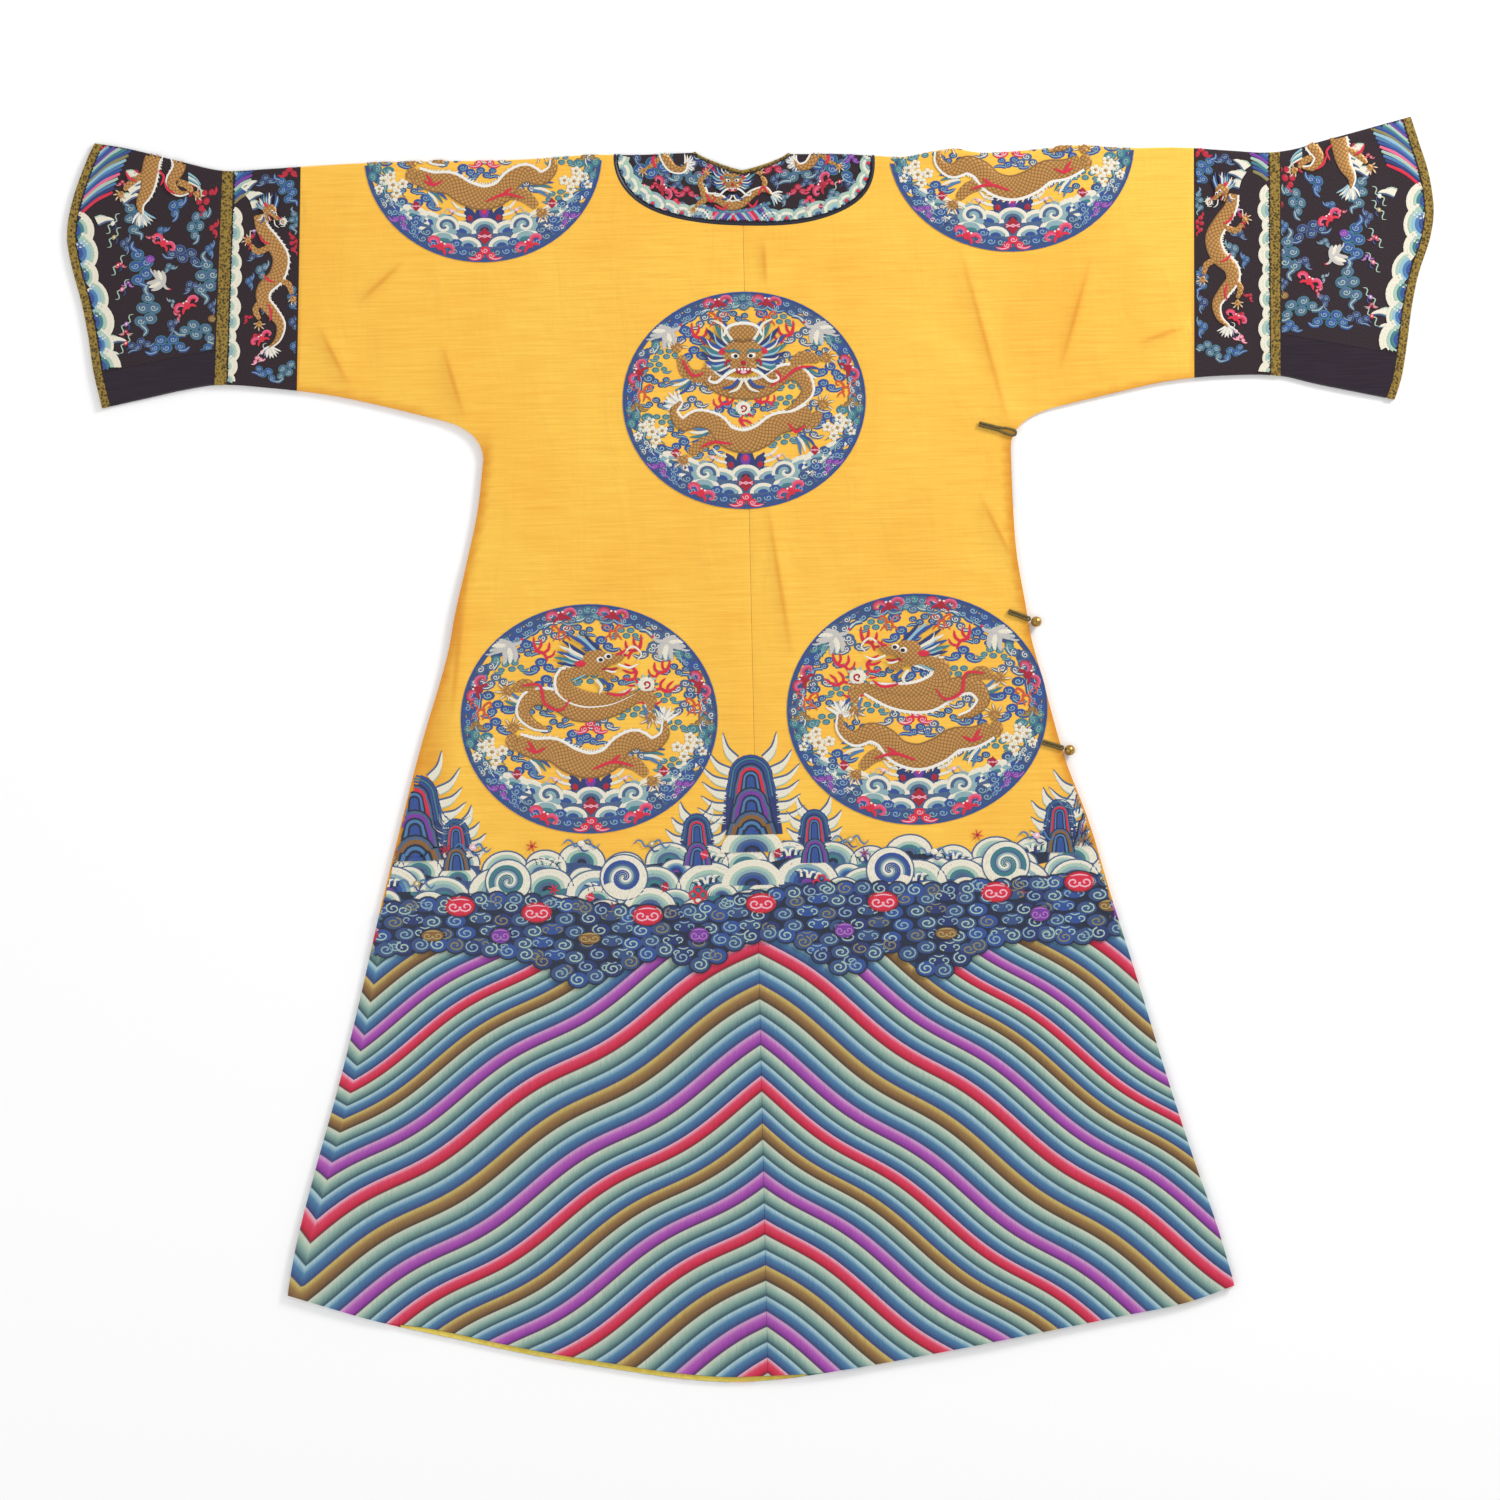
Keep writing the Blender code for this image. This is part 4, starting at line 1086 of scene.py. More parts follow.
def patch(base, outline, tint, level, rim=None, inset=0.7, crown=0.3, slot=0, comb=0.0):
    # a filled shape that can be seen whole from its middle
    ring = through(base[1], outline)
    count = len(ring)
    centre = ring.mean(axis=0)
    places = np.concatenate([ring, centre + (ring - centre) * inset, centre[None]])
    lifts = liftOf(level) + crown * (np.arange(2 * count + 1) >= count)
    tints = np.concatenate([np.tile(asTint(rim or tint), (count, 1)),
        np.tile(asTint(tint), (count + 1, 1))])
    c, s = math.cos(math.radians(comb)), math.sin(math.radians(comb))
    uvs = (places - centre) @ np.array([[c, -s], [s, c]])
    i = np.arange(count)
    n = (i + 1) % count
    middle = np.full(count, 2 * count)
    quads = np.stack([i, n, n + count, i + count], axis=1)
    fan = np.stack([i + count, n + count, middle, middle], axis=1)
    addPart(base[0], slot, np.concatenate([quads, fan]), points=places, lifts=lifts, tints=tints, uvs=uvs)


def dot(base, x, y, wide, tall, tint, level, count=8, turn=0, **more):
    patch(at(base, x, y, turn=turn), oval(wide, tall, count), tint, level, **more)


def strokes(base, paths, width, tint, level, *ends, **more):
    for path in paths:
        stroke(base, path, width, tint, level, *ends, **more)


def finishWork(base, name, both=True, keep=None):
    # both: the same work again on the front; keep: a test that cuts the work at an edge
    work = base[0]
    points, lifts, tints, uvs, faces = (np.concatenate(work[key])
        for key in ("points", "lifts", "tints", "uvs", "faces"))
    slots = np.concatenate([np.full(len(f), s) for f, s in zip(work["faces"], work["slots"])])
    runs = unfold(points[:, 0], points[:, 1])
    stay = keep(points[:, 0], points[:, 1])[faces].all(axis=1)
    if both:
        stay = stay & (runs[faces] > -0.2).all(axis=1)
    faces, slots = faces[stay], slots[stay]
    corners = np.stack([points[:, 0], -runs], axis=1)[faces]
    ahead = np.roll(corners, -1, axis=1)
    area = (corners[:, :, 0] * ahead[:, :, 1] - corners[:, :, 1] * ahead[:, :, 0]).sum(axis=1)
    faces[area < 0] = faces[area < 0][:, ::-1]
    most = threadLift["mostOnFront"]
    lifts = np.where(runs < 0, np.minimum(lifts, most), lifts)
    verts = lay(points[:, 0], runs, lifts)
    if both:
        verts = np.concatenate([verts, lay(points[:, 0], -runs, np.minimum(lifts * 0.6, most))])
        faces = np.concatenate([faces, faces[:, ::-1] + len(points)])
        slots, tints, uvs = (np.concatenate([v, v]) for v in (slots, tints, uvs))
    used = np.unique(faces)
    renumber = np.zeros(len(verts), int)
    renumber[used] = np.arange(len(used))
    rows = [tuple(dict.fromkeys(f)) for f in renumber[faces].tolist()]
    made = finishMesh(name, verts[used], rows, ["stitch", "couched"], slots, uvs[used], tints[used])
    print("embroidery", name, len(rows))


def curl(m, radius, turns, width, tint, level, squash=0.85, steps=11):
    t = np.linspace(0, 1, steps)
    angle = 2 * math.pi * turns * t + math.pi * 0.6
    reach = radius * (0.16 + 0.84 * t)
    stroke(m, arc(reach, reach * squash, angle), width, tint, level, crown=0.25, straight=True)


def lobe(m, x, y, radius, body, line, level, turn=0, flip=1, rim=None, squash=0.82):
    here = at(m, x, y, radius / 10, turn, flip)
    if rim:
        patch(here, oval(11.8, 11.8 * squash, 12), rim, level - 0.8, crown=0.15)
    patch(here, oval(10, 10 * squash, 11), body, level, crown=0.3)
    curl(here, 6.6, 1.25, 2.5, line, level + 1.6, squash)


cloudForms = {
    "three": {
        "lobes": [(-8, 3, 6.4, 1), (8, 3, 6.4, -1), (0, -5, 7.2, 1)],
        "tails": [[(-6, 6), (-15, 8), (-23, 5)], [(6, 6), (14, 8.5), (23, 6)]],
    },
    "four": {
        "lobes": [(-13, 4, 6, 1), (-4, -5, 6.8, 1), (5, 3, 6.6, -1), (14, -4, 6, -1)],
        "tails": [[(-11, 8), (-19, 9), (-27, 6)], [(8, 7), (18, 5), (26, 7)]],
    },
    "five": {
        "lobes": [(-16, 5, 6, 1), (-8, -5, 6.8, 1), (2, 5, 6.8, -1), (8, -6, 6.8, -1), (17, 3, 6, -1)],
        "tails": [[(-14, 10), (-22, 11), (-29, 7)], [(15, 8), (24, 10), (31, 6)]],
    },
    "tall": {
        "lobes": [(1, -15, 6.2, 1), (-7, -5, 6.8, 1), (5, -3, 6.4, -1), (-5, 7, 6.6, -1), (5, 12, 6.2, 1)],
        "tails": [[(1, -18), (6, -24), (3, -30)], [(4, 16), (-3, 21), (0, 28)]],
    },
}


def cloud(m, form, body, line, level=1, rim=None):
    shape = cloudForms[form]
    for path in shape["tails"]:
        stroke(m, path, 5.6, body, level - 0.5, 1, 0.15)
        stroke(m, path, 1.6, line, level + 1, 1, 0.15)
    for x, y, radius, flip in shape["lobes"]:
        lobe(m, x, y, radius, body, line, level, flip=flip, rim=rim)


def flame(m, tint, level):
    # a licking flame: a bent stem with three tongues
    stroke(m, [(-16, 8), (-6, 3), (2, 6), (10, 1), (17, -7)], 4.4, tint, level, 0.4, 0.12)
    stroke(m, [(-6, 3), (-7, -5), (-2, -13)], 3.6, tint, level, 0.9, 0.12)
    stroke(m, [(2, 5), (3, -3), (9, -11)], 3.4, tint, level, 0.9, 0.12)
    stroke(m, [(-12, 6), (-16, -1), (-14, -9)], 3.0, tint, level, 0.9, 0.12)


def bat(m, body, wing, level):
    for here in mirrored(m):
        stroke(here, [(1, 0), (7, -5), (12, -4), (14, 0), (10, 2)], 4.8, [wing, body], level, 0.9, 0.25)
        stroke(here, [(2, 2), (6, 3), (9, 7)], 3.4, body, level, 0.9, 0.2)
        dot(here, 2.0, -4.0, 1.2, 1.2, "white", level + 2, 6)
    patch(m, oval(3.6, 5.2, 9), body, level + 1)


def crane(m, level):
    stroke(m, [(-12, 3), (-5, 1), (2, 0), (9, -4), (14, -3)], 4.0, "grey", level + 1, 0.3, 0.25)
    for flip, lengths in ((1, (15, 13, 10)), (-1, (12, 10, 8))):
        for index, reach in enumerate(lengths):
            stroke(m, [(4 - 4 * index, 0), (1 - 4.5 * index, -flip * reach * 0.55),
                (-5 - 4.5 * index, -flip * reach)], 4.8, ("grey", "ivory", "grey")[index],
                level - 0.2 * index, 1, 0.3)
    stroke(m, [(-10, 3), (-16, 5), (-19, 8)], 2.0, "grey", level, 0.8, 0.3)
    dot(m, 14, -3, 1.6, 1.4, "red", level + 1, 7)


def blossom(m, petal, heart, radius, level):
    for index in range(5):
        a = math.radians(72 * index - 90)
        patch(at(m, *ray(radius, a), radius / 3), oval(2.0, 2.0, 6), petal, level, crown=0.2)
    patch(m, oval(radius * 0.42, radius * 0.42, 6), heart, level + 1.5)


def flowers(m, petal, level):
    for x, y, radius in ((0, 0, 3.4), (8, -3, 3), (-8, -2, 3), (3, -9, 2.8), (-4, 7, 2.8), (11, 5, 2.6)):
        blossom(at(m, x, y, turn=x * 7), petal, "gold", radius, level)
    stroke(m, [(-12, 10), (-4, 6), (6, 9), (14, 8)], 1.4, "teal", level - 1, 0.3, 0.3)


def doubleCurl(m, tint, level):
    # a plain paired-curl ornament, where the photo has character-like devices
    for here in mirrored(m):
        stroke(here, [(1.4, 10), (3.4, 3), (2, 0), (3.4, -4), (8, -7), (9, -3), (6, -2)], 2.2, tint, level,
            0.5, 0.5)
        stroke(here, [(1.6, 4), (6, 6), (8.5, 10)], 1.9, tint, level, 0.6, 0.3)
    stroke(m, [(-4, 0), (4, 0)], 1.8, tint, level)


def lozenge(m, tint="crimson", line="rose", level=2):
    patch(m, [(0, -8), (7, 0), (0, 8), (-7, 0)], tint, level, comb=45)
    for shift in (-2.4, 2.4):
        stroke(m, [(shift - 3.2, -3.6 + abs(shift)), (shift + 3.2, 3.6 - abs(shift))], 1.1, line,
            level + 1.6)
        stroke(m, [(shift - 3.2, 3.6 - abs(shift)), (shift + 3.2, -3.6 + abs(shift))], 1.1, line,
            level + 1.6)


def scroll(m, ribbon, knot, level):
    # a tied treasure: a coloured knot with two fluttering ribbons
    stroke(m, [(0, 0), (7, -5), (11, 0), (16, 3), (20, -2)], 2.0, ribbon, level, 0.9, 0.25)
    stroke(m, [(0, 0), (-7, 4), (-11, -1), (-16, -2), (-20, 3)], 2.0, ribbon, level, 0.9, 0.25)
    stroke(m, [(-2, 3), (3, 8), (9, 6)], 1.8, "deep", level, 0.9, 0.25)
    patch(m, oval(4.2, 3.4, 8), knot, level + 1)
    patch(m, oval(1.7, 1.5, 6), "white", level + 3)


def star(m, tint, level):
    for index in range(6):
        a = math.radians(60 * index)
        stroke(m, [(0, 0), ray(9, a)], 2.0, tint, level, 1, 0.2)
    patch(m, oval(2.6, 2.6, 6), "crimson", level + 1)


def waveArch(m, radius, tones, level, span, squash, width=None):
    # nested arcs, the outermost first
    step = radius / (len(tones) + 0.3) if width is None else width
    turns = np.radians(np.linspace(span[0], span[1], 15))
    reach = radius - step / 2
    for tint in tones:
        if reach > step * 0.2:
            stroke(m, arc(reach, reach * squash, turns), step * 1.08, tint, level, straight=True)
        reach -= step


def waveSpiral(m, radius, tones, level, flip, turns):
    # a breaking crest: a spiral band of several tones that winds to its eye
    here = at(m, 0, 0, flip=flip)
    patch(here, oval(radius * 0.98, radius * 0.94, 22), tones[-1], level - 0.6, crown=0.1)
    pitch = radius * 0.9 / turns
    for index, tint in enumerate(tones):
        offset = pitch * (index + 0.5) / len(tones)
        t = np.linspace(0, min(1, (radius - offset) / (radius * 0.9)), 44)
        angle = math.radians(160) + 2 * math.pi * turns * t
        reach = np.maximum(radius - offset - radius * 0.9 * t, 0.3)
        stroke(here, arc(reach, reach * 0.95, angle), pitch / len(tones) * 1.15, tint, level + 0.3 * index,
            1, 0.4, straight=True)


def spray(m, length, level):
    # a claw of foam: an ivory scythe under a blue edge, with a smaller one below it
    tip = (length, -length * 0.34)
    stroke(m, [(-2, 0), (length * 0.5, -0.6), tip], 5.4, "ivory", level, 1, 0.08)
    stroke(m, [(-2, 4.4), (length * 0.34, 3.8), (length * 0.66, -0.6)], 3.8, "ivory", level - 0.4, 1, 0.1)
    stroke(m, [(-2, -3.2), (length * 0.5, -3.6), (tip[0] + 1, tip[1] - 1.4)], 2.2, "slate", level + 0.6, 1,
        0.3)
    stroke(m, [(-2, 6.8), (length * 0.3, 6.0), (length * 0.54, 2.4)], 1.4, "celadon", level + 0.6, 1, 0.3)


# dragons: couched gold bodies with a lattice of scales, a white spine and red flames

def limbs(m, rows, width, level, hand=1.0):
    # legs with their claws, and a lock of hair where a row gives its place and turn
    for points, (x, y), turn, *hair in rows:
        stroke(m, points, width, "gold", level, 1, 0.5, crown=0.8, slot=1, rows=5, step=2.6)
        claw(at(m, x, y, hand, turn), 5)
        for hairX, hairY, hairTurn in hair:
            wisps(at(m, hairX, hairY, turn=hairTurn), 4.5)


def claw(m, level):
    # five hooked talons on a small palm
    for turn, reach in ((-68, 9), (-34, 11), (0, 12), (34, 11), (72, 9)):
        a = math.radians(turn)
        mid, tip = ray(reach * 0.55, a), ray(reach, a * 1.15 + 0.12)
        stroke(m, [(0, 0), mid, tip], 2.6, "gold", level, 1, 0.25, slot=1)
        stroke(m, [mid, tip], 1.1, "ivory", level + 1.5, 0.6, 0.2)
    patch(m, oval(3.4, 3.2, 8), "gold", level + 1, slot=1, crown=0.6)


def dragonBody(m, points, width, level=3, spine=1, belly=True):
    # points run from the neck to the tail; spine is the side that carries the white fin
    def girth(t):
        return width * (0.78 + 0.22 * np.sin(np.clip(t * 1.5, 0, 1) * math.pi)) * (1 - 0.72
            * np.clip((t - 0.72) / 0.28, 0, 1) ** 1.3)

    path, side, half = stroke(m, points, girth, "gold", level, 0.8, 0.6, crown=1.5, slot=1, rows=9,
        step=2.6)
    sideways = side * (half * spine)[:, None]
    local = np.linalg.inv(m[1])
    fin, teeth, under = (through(local, path + sideways * part) for part in (0.96, 1.28, -0.9))
    stroke(m, fin, 2.9, "white", level + 3, straight=True, crown=0.35)
    for i in range(2, len(path) - 3, 2):
        stroke(m, [fin[i], teeth[i + 1]], 2.2, "ivory", level + 2, 1, 0.3, straight=True, crown=0.2)
    if belly:
        stroke(m, under[2:-4], 1.3, "bronze", level + 3, straight=True)


def wisps(m, level=3, tones=("deep", "teal", "ivory", "mid"), reach=16):
    # hair at an elbow or a tail: combed locks that end in points
    for index, tint in enumerate(tones):
        y = -4.5 + 3.2 * index
        stroke(m, [(0, y * 0.4), (reach * 0.45, y - 1.5), (reach, y * 1.5)], 2.6, tint, level, 1, 0.12)


def tuft(m, x, y, size, turns, reach=15, last="white"):
    for turn in turns:
        wisps(at(m, x, y, size, turn), 4, ("white", "grey", "ivory", last), reach)


def frontHead(m, level):
    # frontal head: crest, mane, ears, brows, eyes, broad snout, open mouth and whiskers
    for here in mirrored(m):
        for index in range(9):
            a = math.radians(-66 + 14 * index)
            reach = 33 - abs(index - 3) * 1.6
            x0, y0 = 12 * math.cos(a), -3 + 11 * math.sin(a)
            tip = (reach * math.cos(a) + 3, -5 + reach * math.sin(a) - 3)
            bend = (x0 * 0.45 + tip[0] * 0.55, y0 * 0.45 + tip[1] * 0.55 + 2.4)
            stroke(here, [(x0, y0), bend, tip], 4.4, ("deep", "teal", "navy")[index % 3], level, 1, 0.12)
            stroke(here, [(x0, y0 + 1.6), (bend[0], bend[1] + 2.0), (tip[0] - 5, tip[1] + 2.6)], 1.8,
                "ivory" if index % 2 else "pale", level + 1.2, 1, 0.15)
        stroke(here, [(6, -13), (11, -22), (16, -31), (23, -35)], 2.6, "ivory", level + 2, 1, 0.3)
        dot(here, 15, -8, 4.6, 3.0, "red", level + 3, turn=28)
        stroke(here, [(6, 8), (13, 12), (21, 19), (27, 17), (25, 13)], 2.6, "white", level + 15, 0.9, 0.3)
        stroke(here, [(4, 17), (9, 23), (17, 24)], 2.6, "deep", level + 12, 1, 0.2)
        stroke(here, [(1, 18), (5, 25), (12, 28)], 2.2, "ivory", level + 12, 1, 0.2)
    dot(m, 0, -24, 14, 7.5, "gold", level, 16, slot=1, crown=0.5)
    crest = [(-15, -21), (-11, -29), (0, -32), (11, -29), (15, -21)]
    stroke(m, crest, 2.6, "white", level + 3, 0.6, 0.6)
    dot(m, 0, -6, 16.5, 11.5, "gold", level + 2, 18, slot=1, crown=1.2)
    dot(m, 0, 6, 10.5, 7, "gold", level + 3, 14, slot=1, crown=1.4)
    stroke(m, [(-12, -15), (-5, -17.6), (0, -16), (5, -17.6), (12, -15)], 1.6, "bronze", level + 14, 0.3,
        0.3)
    for here in mirrored(m):
        dot(here, 6.4, -3.6, 3.5, 2.3, "white", level + 14, 9, turn=-14, crown=0.2)
        dot(here, 5.8, -3.4, 1.7, 1.7, "black", level + 16, crown=0.2)
        stroke(here, [(2.4, -5.6), (6, -8.4), (11.6, -7.6), (15, -10)], 2.2, "teal", level + 15, 0.5, 0.2)
        stroke(here, [(10, 0), (13.6, 2), (13, 6)], 2.4, "crimson", level + 14, 0.7, 0.2)
        dot(here, 4.2, 3.4, 2.6, 1.9, "gold", level + 16, 7, slot=1, crown=0.4)
    dot(m, 0, 2.6, 2.6, 2.1, "crimson", level + 17, crown=0.3)
    dot(m, 0, 9.4, 6.4, 3.4, "crimson", level + 15, 12, crown=0.2)
    for x in (-3.6, -1.2, 1.2, 3.6):
        dot(m, x, 8.2, 1.0, 1.3, "white", level + 18, 6, crown=0.1)
    dot(m, 0, 10.6, 2.6, 1.4, "rose", level + 18, 7, crown=0.1)


def sideHead(m, level):
    # head in profile, facing +x
    for index in range(8):
        y = -13 + 3.6 * index
        reach = -30 + abs(index - 3) * 2
        tint = ("navy", "ivory", "deep", "teal")[index % 4]
        stroke(m, [(-6, y * 0.5), (-16, y - 1), (reach, y * 1.25 - 4)], 3.0, tint, level, 1, 0.12)
        stroke(m, [(-8, y * 0.5 + 1.5), (-17, y + 0.8), (reach + 5, y * 1.25 - 1.6)], 1.4,
            "pale" if index % 2 else "ivory", level + 1, 1, 0.15)
    for index in range(3):
        stroke(m, [(-2 + 3 * index, -10), (-9 + 3 * index, -18), (-20 + 6 * index, -25)], 3.0,
            ("deep", "pale", "navy")[index], level, 1, 0.15)
    skull = [(-10, -5), (-6, -11), (2, -12), (8, -9), (13, -8), (18, -10), (21, -6), (18, -2), (11, 0),
        (6, 3), (0, 9), (-7, 8), (-11, 2)]
    patch(m, skull, "gold", level + 2, slot=1, crown=1.2, inset=0.75)
    stroke(m, [(2, 6), (7, 9), (14, 10)], 4.0, "gold", level + 2, 1, 0.5, slot=1, crown=0.7)
    stroke(m, [(4, 3), (10, 4.4), (16, 3)], 2.4, "crimson", level + 6, 0.5, 0.3)
    stroke(m, [(7, 4.6), (11, 6), (15, 6)], 1.5, "white", level + 9, 0.5, 0.4)
    stroke(m, [(15, -8), (19, -9), (22, -12)], 2.2, "red", level + 12, 0.8, 0.2)
    dot(m, -11, -1, 4.4, 2.6, "red", level + 12)
    for x, y in ((3.4, -4), (9, -6.6)):
        dot(m, x, y, 2.9, 2.4, "white", level + 13, crown=0.3)
        dot(m, x + 0.4, y + 0.2, 1.7, 1.6, "black", level + 16, 7, crown=0.3)
    stroke(m, [(19, -8), (27, -14), (33, -8), (30, -3)], 1.6, "ivory", level + 4, 0.9, 0.3)
    stroke(m, [(16, 0), (24, 3), (31, 0)], 1.7, "white", level + 4, 0.9, 0.2)
    stroke(m, [(4, 12), (9, 17), (8, 23)], 2.4, "deep", level + 1, 1, 0.15)
    stroke(m, [(0, 12), (4, 18), (2, 24)], 2.4, "ivory", level + 1, 1, 0.15)


def pearl(m):
    # the flaming pearl: pale rim of rays, red comma
    for index in range(10):
        a = math.radians(36 * index)
        stroke(m, [ray(5, a), ray(9, a)], 2.2, "celadon" if index % 2 else "teal", 4, 1, 0.4)
    patch(m, oval(6.4, 6.4, 12), "ivory", 5)
    curl(m, 3.6, 1.0, 1.8, "crimson", 7, 0.95)


def frontalDragon(m):
    dragonBody(m, [(-34, -30), (-22, -16), (-4, -10), (16, -12), (34, -24), (47, -21), (52, -7), (42, 5),
        (34, 10)], 18, 3, spine=-1)
    dragonBody(m, [(54, 11), (42, 19), (26, 23), (14, 33), (0, 38), (-15, 33), (-24, 21), (-38, 16),
        (-51, 21), (-58, 9), (-52, 0)], 21, 5.5)
    limbs(m, [([(-32, -22), (-46, -26), (-52, -42)], (-54, -48), -100, (-44, -20, 150)),
        ([(38, -26), (48, -38), (62, -36)], (66, -37), -20, (46, -26, 20)),
        ([(-20, 30), (-34, 38), (-46, 48)], (-50, 52), 130, (-30, 28, 170)),
        ([(40, 18), (54, 22), (62, 12)], (64, 7), -70, (44, 34, 60))], 11, 3.5)
    strokes(m, [[(-50, -38), (-42, -24), (-32, -26)], [(30, -16), (44, -28), (58, -30)],
        [(22, -12), (30, -20), (26, -28)], [(-36, 42), (-26, 38), (-10, 40)],
        [(36, 22), (42, 30), (50, 24)]], 2.6, "red", 19, 0.5, 0.15)
    tuft(m, -52, 2, 0.9, (165, 200, 235))
    frontHead(at(m, 0, -37, 1.06), 14)
    pearl(at(m, -1, 7))
    for x, y, turn, flip in ((-15, 0, -20, 1), (15, -1, 10, -1), (0, 17, 90, 1)):
        flame(at(m, x, y, 0.62, turn, flip), "red", 3)


def profileDragon(m):
    dragonBody(m, [(38, -20), (16, -9), (-8, -7), (-28, -18), (-44, -19), (-51, -7), (-43, 4), (-32, 8)],
        18)
    dragonBody(m, [(-56, 19), (-43, 25), (-28, 27), (-15, 36), (0, 41), (15, 36), (25, 24), (36, 19),
        (48, 24), (58, 16), (59, 3)], 22, 5.5, spine=-1)
    limbs(m, [([(-42, -22), (-48, -30), (-58, -28)], (-61, -26), 170, (-50, -14, 200)),
        ([(34, -18), (46, -18), (48, -6)], (48, -2), 95, (44, -12, 60)),
        ([(-50, 22), (-60, 20), (-59, 12)], (-59, 8), -90, (-46, 34, 50)),
        ([(18, 36), (34, 40), (44, 50)], (47, 54), 55, (42, 32, 10))], 11, 3.5)
    dragonBody(m, [(2, -44), (-17, -38), (-17, -25), (-2, -17), (18, -17), (36, -22)], 15, 9, belly=False)
    strokes(m, [[(-52, -30), (-38, -30), (-34, -14), (-22, -8), (-14, -18)],
        [(14, -22), (26, -20), (34, -26)], [(-50, 24), (-42, 28), (-34, 24)], [(-48, 18), (-42, 28)],
        [(2, 44), (18, 38), (34, 42)], [(16, 38), (24, 32)]], 2.6, "red", 20, 0.4, 0.15)
    tuft(m, 58, 4, 0.9, (-60, -95, -130), 14)
    sideHead(at(m, 6, -47, 1.08), 15)
    pearl(at(m, 45, -29, 1.05))
    for x, y, turn in ((57, -42, -30), (34, -38, -100), (46, -14, 20), (60, -26, 10)):
        flame(at(m, x, y, 0.62, turn), "red", 3)


# roundels: a thin blue ring crowded with curled clouds, the dragon, and a little sea below
roundelTones = [("deep", "mist"), ("dusk", "pale"), ("slate", "ivory"), ("teal", "mist")]


def fillClouds(m, reach):
    # small clouds crowd the ground that the figures leave, tucked in under their edges
    drawn = through(np.linalg.inv(m[1]), np.concatenate(m[0]["points"]))
    placed = [(0, 300)]
    for y in np.arange(-86, 54, 3.0):
        for x in np.arange(-88, 89, 4.0) + 1.7 * math.sin(y):
            room = math.sqrt(float((((drawn - (x, y)) * (0.6, 1.1)) ** 2).sum(axis=1).min()))
            apart = min(((x - px) / 22.5) ** 2 + ((y - py) / 13.0) ** 2 for px, py in placed)
            if room < 2.4 or apart < 1 or math.hypot(x, y) > reach:
                continue
            index = len(placed)
            placed.append((x, y))
            form, size = (("three", 0.66), ("four", 0.52), ("three", 0.6), ("five", 0.46))[index % 4]
            spot = at(m, x, y, size, 12 * math.sin(index * 2.3), 1 if index % 2 else -1)
            cloud(spot, form, *roundelTones[index % 4], 0.6)


def roundelSea(m):
    for flip, here in zip((-1, 1), mirrored(m)):
        shore = [(0, 60), (30, 62), (56, 57), (84, 46)]
        shore += [ray(96, a) for a in np.radians(np.linspace(30, 90, 12))]
        patch(here, shore, "slate", 0.3, crown=0.05, inset=0.9)
        for x, y, radius, tint in ((74, 50, 13, "deep"), (60, 58, 15, "teal"), (47, 63, 14, "deep"),
                (20, 72, 13, "deep"), (34, 80, 13, "teal"), (14, 85, 11, "deep"), (52, 75, 11, "navy"),
                (68, 60, 10, "deep")):
            hump = at(here, x, y, turn=-34 * x / 72)
            patch(hump, arc(radius, -radius * 0.75, np.linspace(0, math.pi, 8)), tint, 0.9, crown=0.1)
            waveArch(hump, radius, ["ivory", "mist", tint], 1.2, (182, 358), 0.75)
        waveSpiral(at(here, 33, 66), 12, ["ivory", "slate", "mist"], 3, 1, 1.3)
        cloud(at(here, 70, 60, 0.5, -38), "three", "purple", "lilac", 4)
        for index, (x, y) in enumerate(((75, 52), (67, 62), (60, 70), (52, 77), (44, 82), (26, 89),
                (18, 90), (10, 91), (58, 62), (48, 71), (24, 82))):
            lobe(here, x, y, 5.2, "dusk" if index % 2 else "deep", "mist", 2.6, flip=flip)
        bat(at(here, 37, 84, 0.82, -32), "red", "pink", 4.5)
        patch(at(here, 12, 56, turn=24), [(0, -9), (4, -3), (5, 6), (-5, 6), (-4, -3)], "navy", 2.8)
        dot(here, 12, 59, 2.6, 3.2, "crimson", 4.5, 7, turn=10)
        strokes(here, [[(14, 52), (22, 49), (27, 43)], [(15, 57), (22, 55), (29, 50)]], 2.4, "ivory", 2.6,
            1, 0.2)
        lozenge(at(here, 57, 47, 0.62), level=4)
        scroll(at(here, 27, 52, 0.5, 8), "grey", "rose", 4)
    patch(at(m, 0, 56), [(0, -13), (6, -7), (9, 4), (-9, 4), (-6, -7)], "navy", 3)
    dot(m, 0, 54, 4.6, 5.5, "purple", 4.6, 9)
    dot(m, 0, 53, 2.2, 3, "red", 6.4, 7)
    waveArch(at(m, 0, 71), 13, ["ivory", "mist", "slate", "night"], 3.5, (190, 350), 0.9)
    lozenge(at(m, 0, 76), level=6)
    cloud(at(m, 0, 92, 0.62), "three", "red", "rose", 5)


